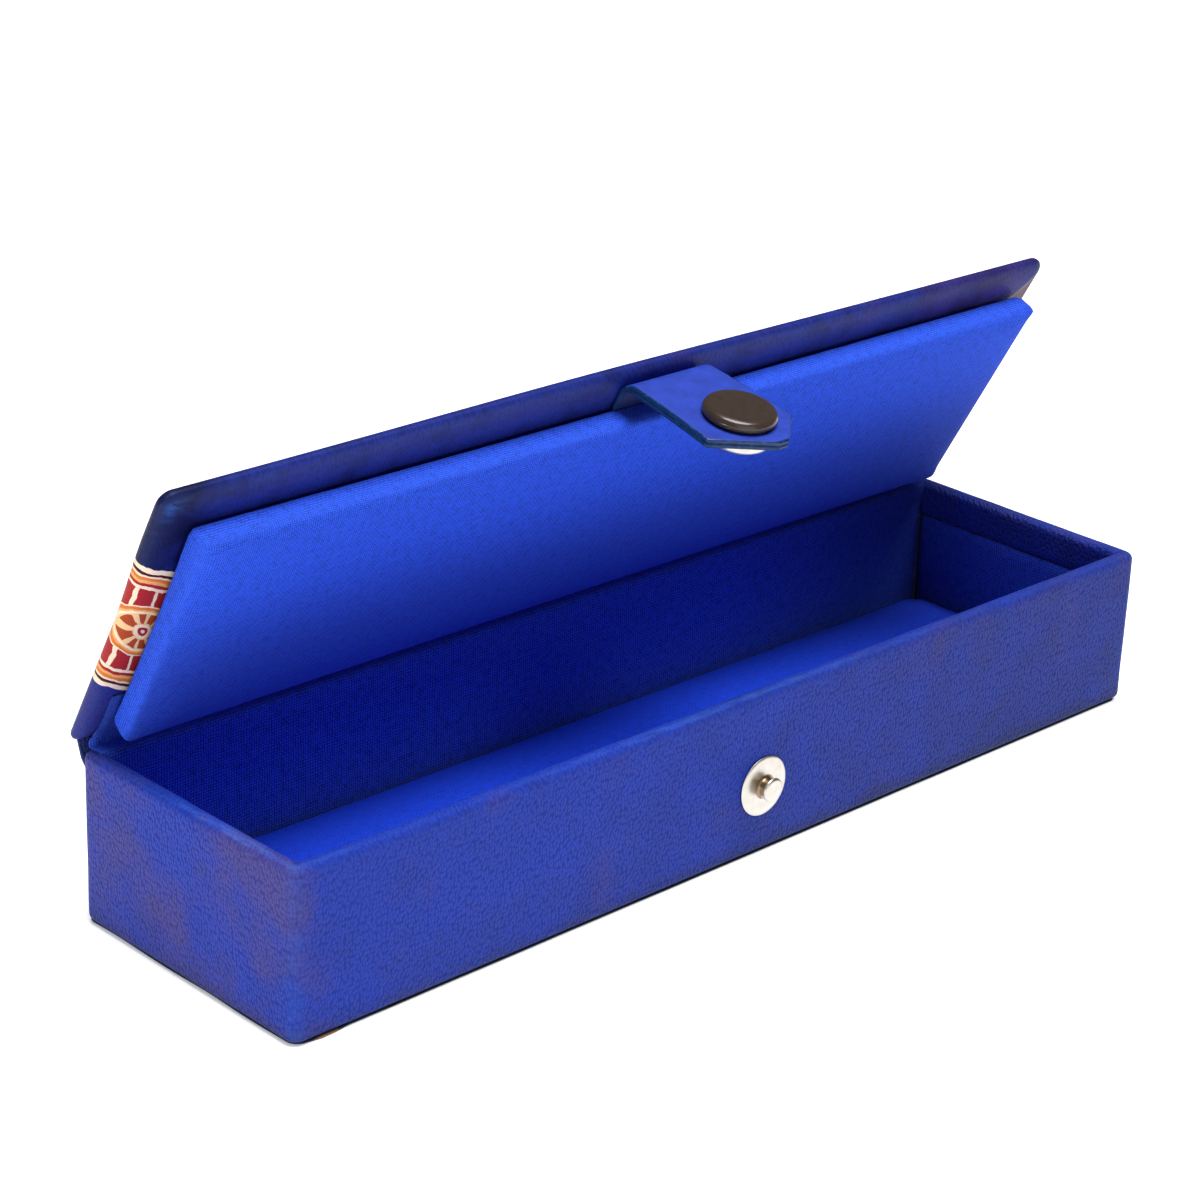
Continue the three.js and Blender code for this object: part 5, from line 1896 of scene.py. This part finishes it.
@dataclass
class Snap:
    """The snap fastener: cap and socket on the strap, stud on the front wall."""

    facets: int = 96
    set_back: float = 1.1  # punched a little nearer the root than drawn
    cap_swell: float = 0.25
    stud_trim: float = 0.3
    stud_rise: float = 1.0  # set higher than drawn, to meet the socket
    mouth_drop: float = 0.15
    drum: float = 6.7  # radius of the socket's pressed drum
    hole: float = 2.85
    post: float = 2.3
    neck: float = 1.75
    rubbed: tuple[float, float] = (0.47, 2.2)  # heights between which the stud shows its brass
    wire: float = 0.3
    spring_opening: float = 60  # degrees left open in the spring ring

    def tongue(self) -> Swing:
        """The tongue as it springs up at its root."""
        plane = tongue_plane()
        turn = math.radians(Strap.lift)
        along = math.cos(turn) * plane.along + math.sin(turn) * plane.off
        off = math.cos(turn) * plane.off - math.sin(turn) * plane.along
        return Swing(plane.pivot, along, off)

    def turn(
        self, name: str, profile: Sequence[tuple[float, float]], origin: np.ndarray, axis: np.ndarray,
        finish: Finish, bare: tuple[float, float] = (0, 0),
    ) -> Object:
        """Turns a profile round an axis.

        Args:
            name: the piece's name.
            profile: radius and height of each corner, from one pole to the other.
            origin: where the height is zero.
            axis: the direction of the height.
            finish: its material.
            bare: the heights between which its plating is rubbed off.

        Returns:
            The piece.
        """
        side = np.array([1.0, 0, 0])
        other = np.cross(axis, side)
        turn = np.linspace(0, math.tau, self.facets, endpoint=False)
        rows = [
            origin + z * axis + r * (np.cos(turn)[:, None] * side + np.sin(turn)[:, None] * other)
            for r, z in profile
        ]
        points, faces = skin(np.array(rows), False)
        rubbed = [float(bare[0] < z < bare[1] and r > 0.1) for r, z in profile for _ in turn]
        return make_piece(name, points, faces, finish, {"bare": np.array(rubbed)})

    def rounded(
        self, corners: Sequence[tuple[float, float, float]], steps: int = 5
    ) -> list[tuple[float, float]]:
        """A profile with its corners rounded.

        Args:
            corners: radius, height and rounding of each corner.
            steps: how finely a corner is rounded.

        Returns:
            The profile's points.
        """
        flat = [np.array(c[:2], float) for c in corners]
        made = [tuple(flat[0])]
        for before, here, after, corner in zip(flat, flat[1:], flat[2:], corners[1:]):
            r = min(corner[2], np.linalg.norm(before - here) / 2, np.linalg.norm(after - here) / 2)
            if r < 1e-3:
                made.append(tuple(here))
                continue
            start = here + (before - here) / np.linalg.norm(before - here) * r
            stop = here + (after - here) / np.linalg.norm(after - here) * r
            for t in np.linspace(0, 1, steps + 1):
                made.append(tuple((1 - t) ** 2 * start + 2 * t * (1 - t) * here + t * t * stop))
        made.append(tuple(flat[-1]))
        return made

    def build_cap(self) -> Object:
        """Makes the enamelled cap."""
        tongue = self.tongue()
        low, high = span_in(tongue_plane(), "snap_cap")
        face = span_in(tongue_plane(), "strap_face")[1][1] + 0.03
        radius = span("snap_cap")[1][0] + self.cap_swell
        origin = tongue.place(0, (low[0] + high[0]) / 2 - self.set_back, 0)
        top = high[1]
        profile = self.rounded([
            (POLE, face, 0), (radius - 0.75, face, 0), (radius - 0.2, face + 0.45, 0.4),
            (radius, face + 1.1, 0.6), (radius - 0.45, top - 0.5, 0.7), (radius - 1.5, top - 0.16, 0.9),
            (POLE, top, 0),
        ], 7)
        return self.turn("snap_cap_enamelled", profile, origin, np.array([0, *tongue.off]), Enamel())

    def build_socket(self) -> Object:
        """Makes the socket under the strap."""
        tongue = self.tongue()
        low, high = span_in(tongue_plane(), "snap_socket")
        origin = tongue.place(0, (low[0] + high[0]) / 2 - self.set_back, 0)
        hole, drum = self.hole, self.drum
        foot, mouth = high[1], low[1] - self.mouth_drop
        profile = self.rounded([
            (POLE, foot - 0.15, 0), (hole, foot - 0.15, 0.05), (hole, mouth + 0.35, 0.2),
            (hole + 0.5, mouth, 0.3), (drum - 0.35, mouth, 0.45), (drum, mouth + 0.7, 0.3),
            (drum - 0.1, foot, 0.08), (POLE, foot, 0),
        ])
        return self.turn("snap_socket_ring", profile, origin, np.array([0, *tongue.off]), Nickel())

    def build_spring(self) -> Object:
        """Makes the open ring of wire in the socket's groove."""
        tongue = self.tongue()
        low, high = span_in(tongue_plane(), "socket_spring")
        along, off = np.array([0, *tongue.along]), np.array([0, *tongue.off])
        first, last = span_in(tongue_plane(), "snap_socket")
        centre = tongue.place(0, 0, 0) + along * ((first[0] + last[0]) / 2)
        centre = centre - along * self.set_back + off * (low[1] + high[1]) / 2
        radius = span("socket_spring")[1][0] - self.wire
        gap = self.spring_opening / 2
        side = np.array([1.0, 0, 0])
        rows = []
        for turn in np.radians(np.linspace(gap, 360 - gap, 33)):
            outward = math.sin(turn) * side + math.cos(turn) * along
            section = arc((0, 0), self.wire, 0, 360, 12)[:-1]
            rows.append([centre + outward * (radius + r) + off * h for r, h in section])
        points, faces = skin(np.array(rows), False)
        return make_piece("snap_spring_wire", points, faces, Nickel())

    def build_stud(self) -> Object:
        """Makes the stud: a dished flange with a plain rim, and a post with a bead."""
        low, high = span("snap_stud")
        flange = high[0]
        centre = np.array([0, high[1], (low[2] + high[2]) / 2 + self.stud_rise])
        reach = high[1] - low[1] - self.stud_trim
        post, neck = self.post, self.neck
        profile = self.rounded([
            (POLE, 0, 0), (flange - 0.1, 0, 0.05), (flange, 0.15, 0.12), (flange - 0.35, 0.33, 0.2),
            (flange - 1.2, 0.42, 0.5), (neck + 0.5, 0.46, 0.3), (neck, 0.75, 0.25), (neck, 2.05, 0.15),
            (post, 2.3, 0.15), (post, reach - 0.4, 0.3), (post - 0.3, reach - 0.08, 0.3), (POLE, reach, 0),
        ])
        out = np.array([0, -1.0, 0])
        return self.turn("snap_stud_post", profile, centre, out, Nickel(), self.rubbed)

    def build(self) -> None:
        """Makes the fastener."""
        seat(self.build_cap(), Body.STRAP, Slot.ENAMEL, "snap_cap")
        seat(self.build_socket(), Body.STRAP, Slot.NICKEL, "snap_socket")
        seat(self.build_spring(), Body.STRAP, Slot.NICKEL, "socket_spring")
        seat(self.build_stud(), Body.BOX, Slot.NICKEL, "snap_stud")


def dress_carcass() -> None:
    """Gives the boards, the rear lining card and the rivet that stay from the frame their finishes."""
    for name, node in frame["nodes"].items():
        if node.hide_render:
            continue
        node.data.materials.clear()
        finish = Nickel() if name == "stud_rivet" else Board()
        node.data.materials.append(finish.material())
        log.info("%s keeps its frame shape", name)


@dataclass(frozen=True)
class Lamp:
    """A soft square light that points at the box; a card shows only as a reflection."""

    name: str
    place: tuple[float, float, float]  # metres
    size: float  # metres
    power: float  # watts
    card: bool = False


@dataclass
class Studio:
    """White paper, soft light and the camera."""

    lens: float = 94.75
    place: tuple[float, float, float] = (-381.99, -370.37, 260.57)
    heading: float = 44.79  # degrees from +Y towards +X
    pitch: float = 22.53  # degrees below level
    roll: float = 2.35
    paper: float = 30.0
    sky: float = 0.1
    sun: float = 4.2
    sun_spread: float = 40  # degrees across, for soft shadows
    sun_side: float = 20  # degrees from straight ahead, minus towards the left
    sun_height: float = 82
    aim: tuple[float, float, float] = (0, 0, 0.04)  # where the lamps point, in metres
    lamps: tuple[Lamp, ...] = (
        Lamp("left_strip", (-0.5, -0.05, 0.035), 0.07, 0.42),
        Lamp("top_card", (0.1, -0.2, 1.3), 1.0, 2.5, card=True),
        Lamp("front_card", (-0.35, -1.0, 0.3), 0.9, 2.5, card=True),
    )

    def build_camera(self) -> None:
        """Puts the camera where the photograph was taken."""
        data = bpy.data.cameras.new("camera")
        data.lens = self.lens
        data.sensor_width = 36
        data.clip_start = 0.01
        camera = bpy.data.objects.new("camera", data)
        bpy.context.scene.collection.objects.link(camera)
        turn = Matrix.Rotation(-math.radians(self.heading), 4, "Z")
        tilt = Matrix.Rotation(math.radians(90 - self.pitch), 4, "X")
        lean = Matrix.Rotation(math.radians(self.roll), 4, "Z")
        camera.matrix_world = Matrix.Translation(Vector(self.place) * MM) @ turn @ tilt @ lean
        bpy.context.scene.camera = camera

    def build_paper(self) -> None:
        """Lays the paper."""
        half = self.paper / MM / 2
        corners = [(-half, -half, 0), (half, -half, 0), (half, half, 0), (-half, half, 0)]
        paper = make_piece("paper", np.array(corners, float), [[0, 1, 2, 3]], PaleFloor())

    def build_sun(self) -> None:
        """Lights all of the paper evenly from high in front."""
        data = bpy.data.lights.new("overhead_panel", "SUN")
        data.energy = self.sun
        data.angle = math.radians(self.sun_spread)
        light = bpy.data.objects.new("overhead_panel", data)
        bpy.context.scene.collection.objects.link(light)
        turn = Matrix.Rotation(math.radians(self.sun_side), 4, "Z")
        tilt = Matrix.Rotation(math.radians(90 - self.sun_height), 4, "X")
        light.matrix_world = turn @ tilt

    def build_lamp(self, lamp: Lamp) -> None:
        """Hangs a lamp.

        Args:
            lamp: what it is and where it hangs.
        """
        data = bpy.data.lights.new(lamp.name, "AREA")
        data.size = lamp.size
        data.energy = lamp.power
        light = bpy.data.objects.new(lamp.name, data)
        bpy.context.scene.collection.objects.link(light)
        light.location = lamp.place
        light.rotation_mode = "QUATERNION"
        light.rotation_quaternion = (Vector(self.aim) - Vector(lamp.place)).to_track_quat("-Z", "Y")
        light.visible_diffuse = not lamp.card

    def build(self) -> None:
        """Sets the studio up."""
        scene = bpy.context.scene
        scene.view_settings.view_transform = "Standard"
        world = bpy.data.worlds.new("white_tent")
        scene.world = world
        world.use_nodes = True
        backdrop = world.node_tree.nodes["Background"]
        feed(world.node_tree, backdrop, {"Color": (1, 1, 1, 1), "Strength": self.sky})
        self.build_paper()
        self.build_sun()
        for lamp in self.lamps:
            self.build_lamp(lamp)
        self.build_camera()


def main() -> None:
    """Builds the box in order."""
    logging.basicConfig(level=logging.INFO, format="%(name)s: %(message)s")
    Studio().build()
    BoxLeather().build()
    Linings().build()
    Pads().build()
    LidCover().build()
    Strap().build()
    Snap().build()
    dress_carcass()


if __name__ == "__main__":
    main()
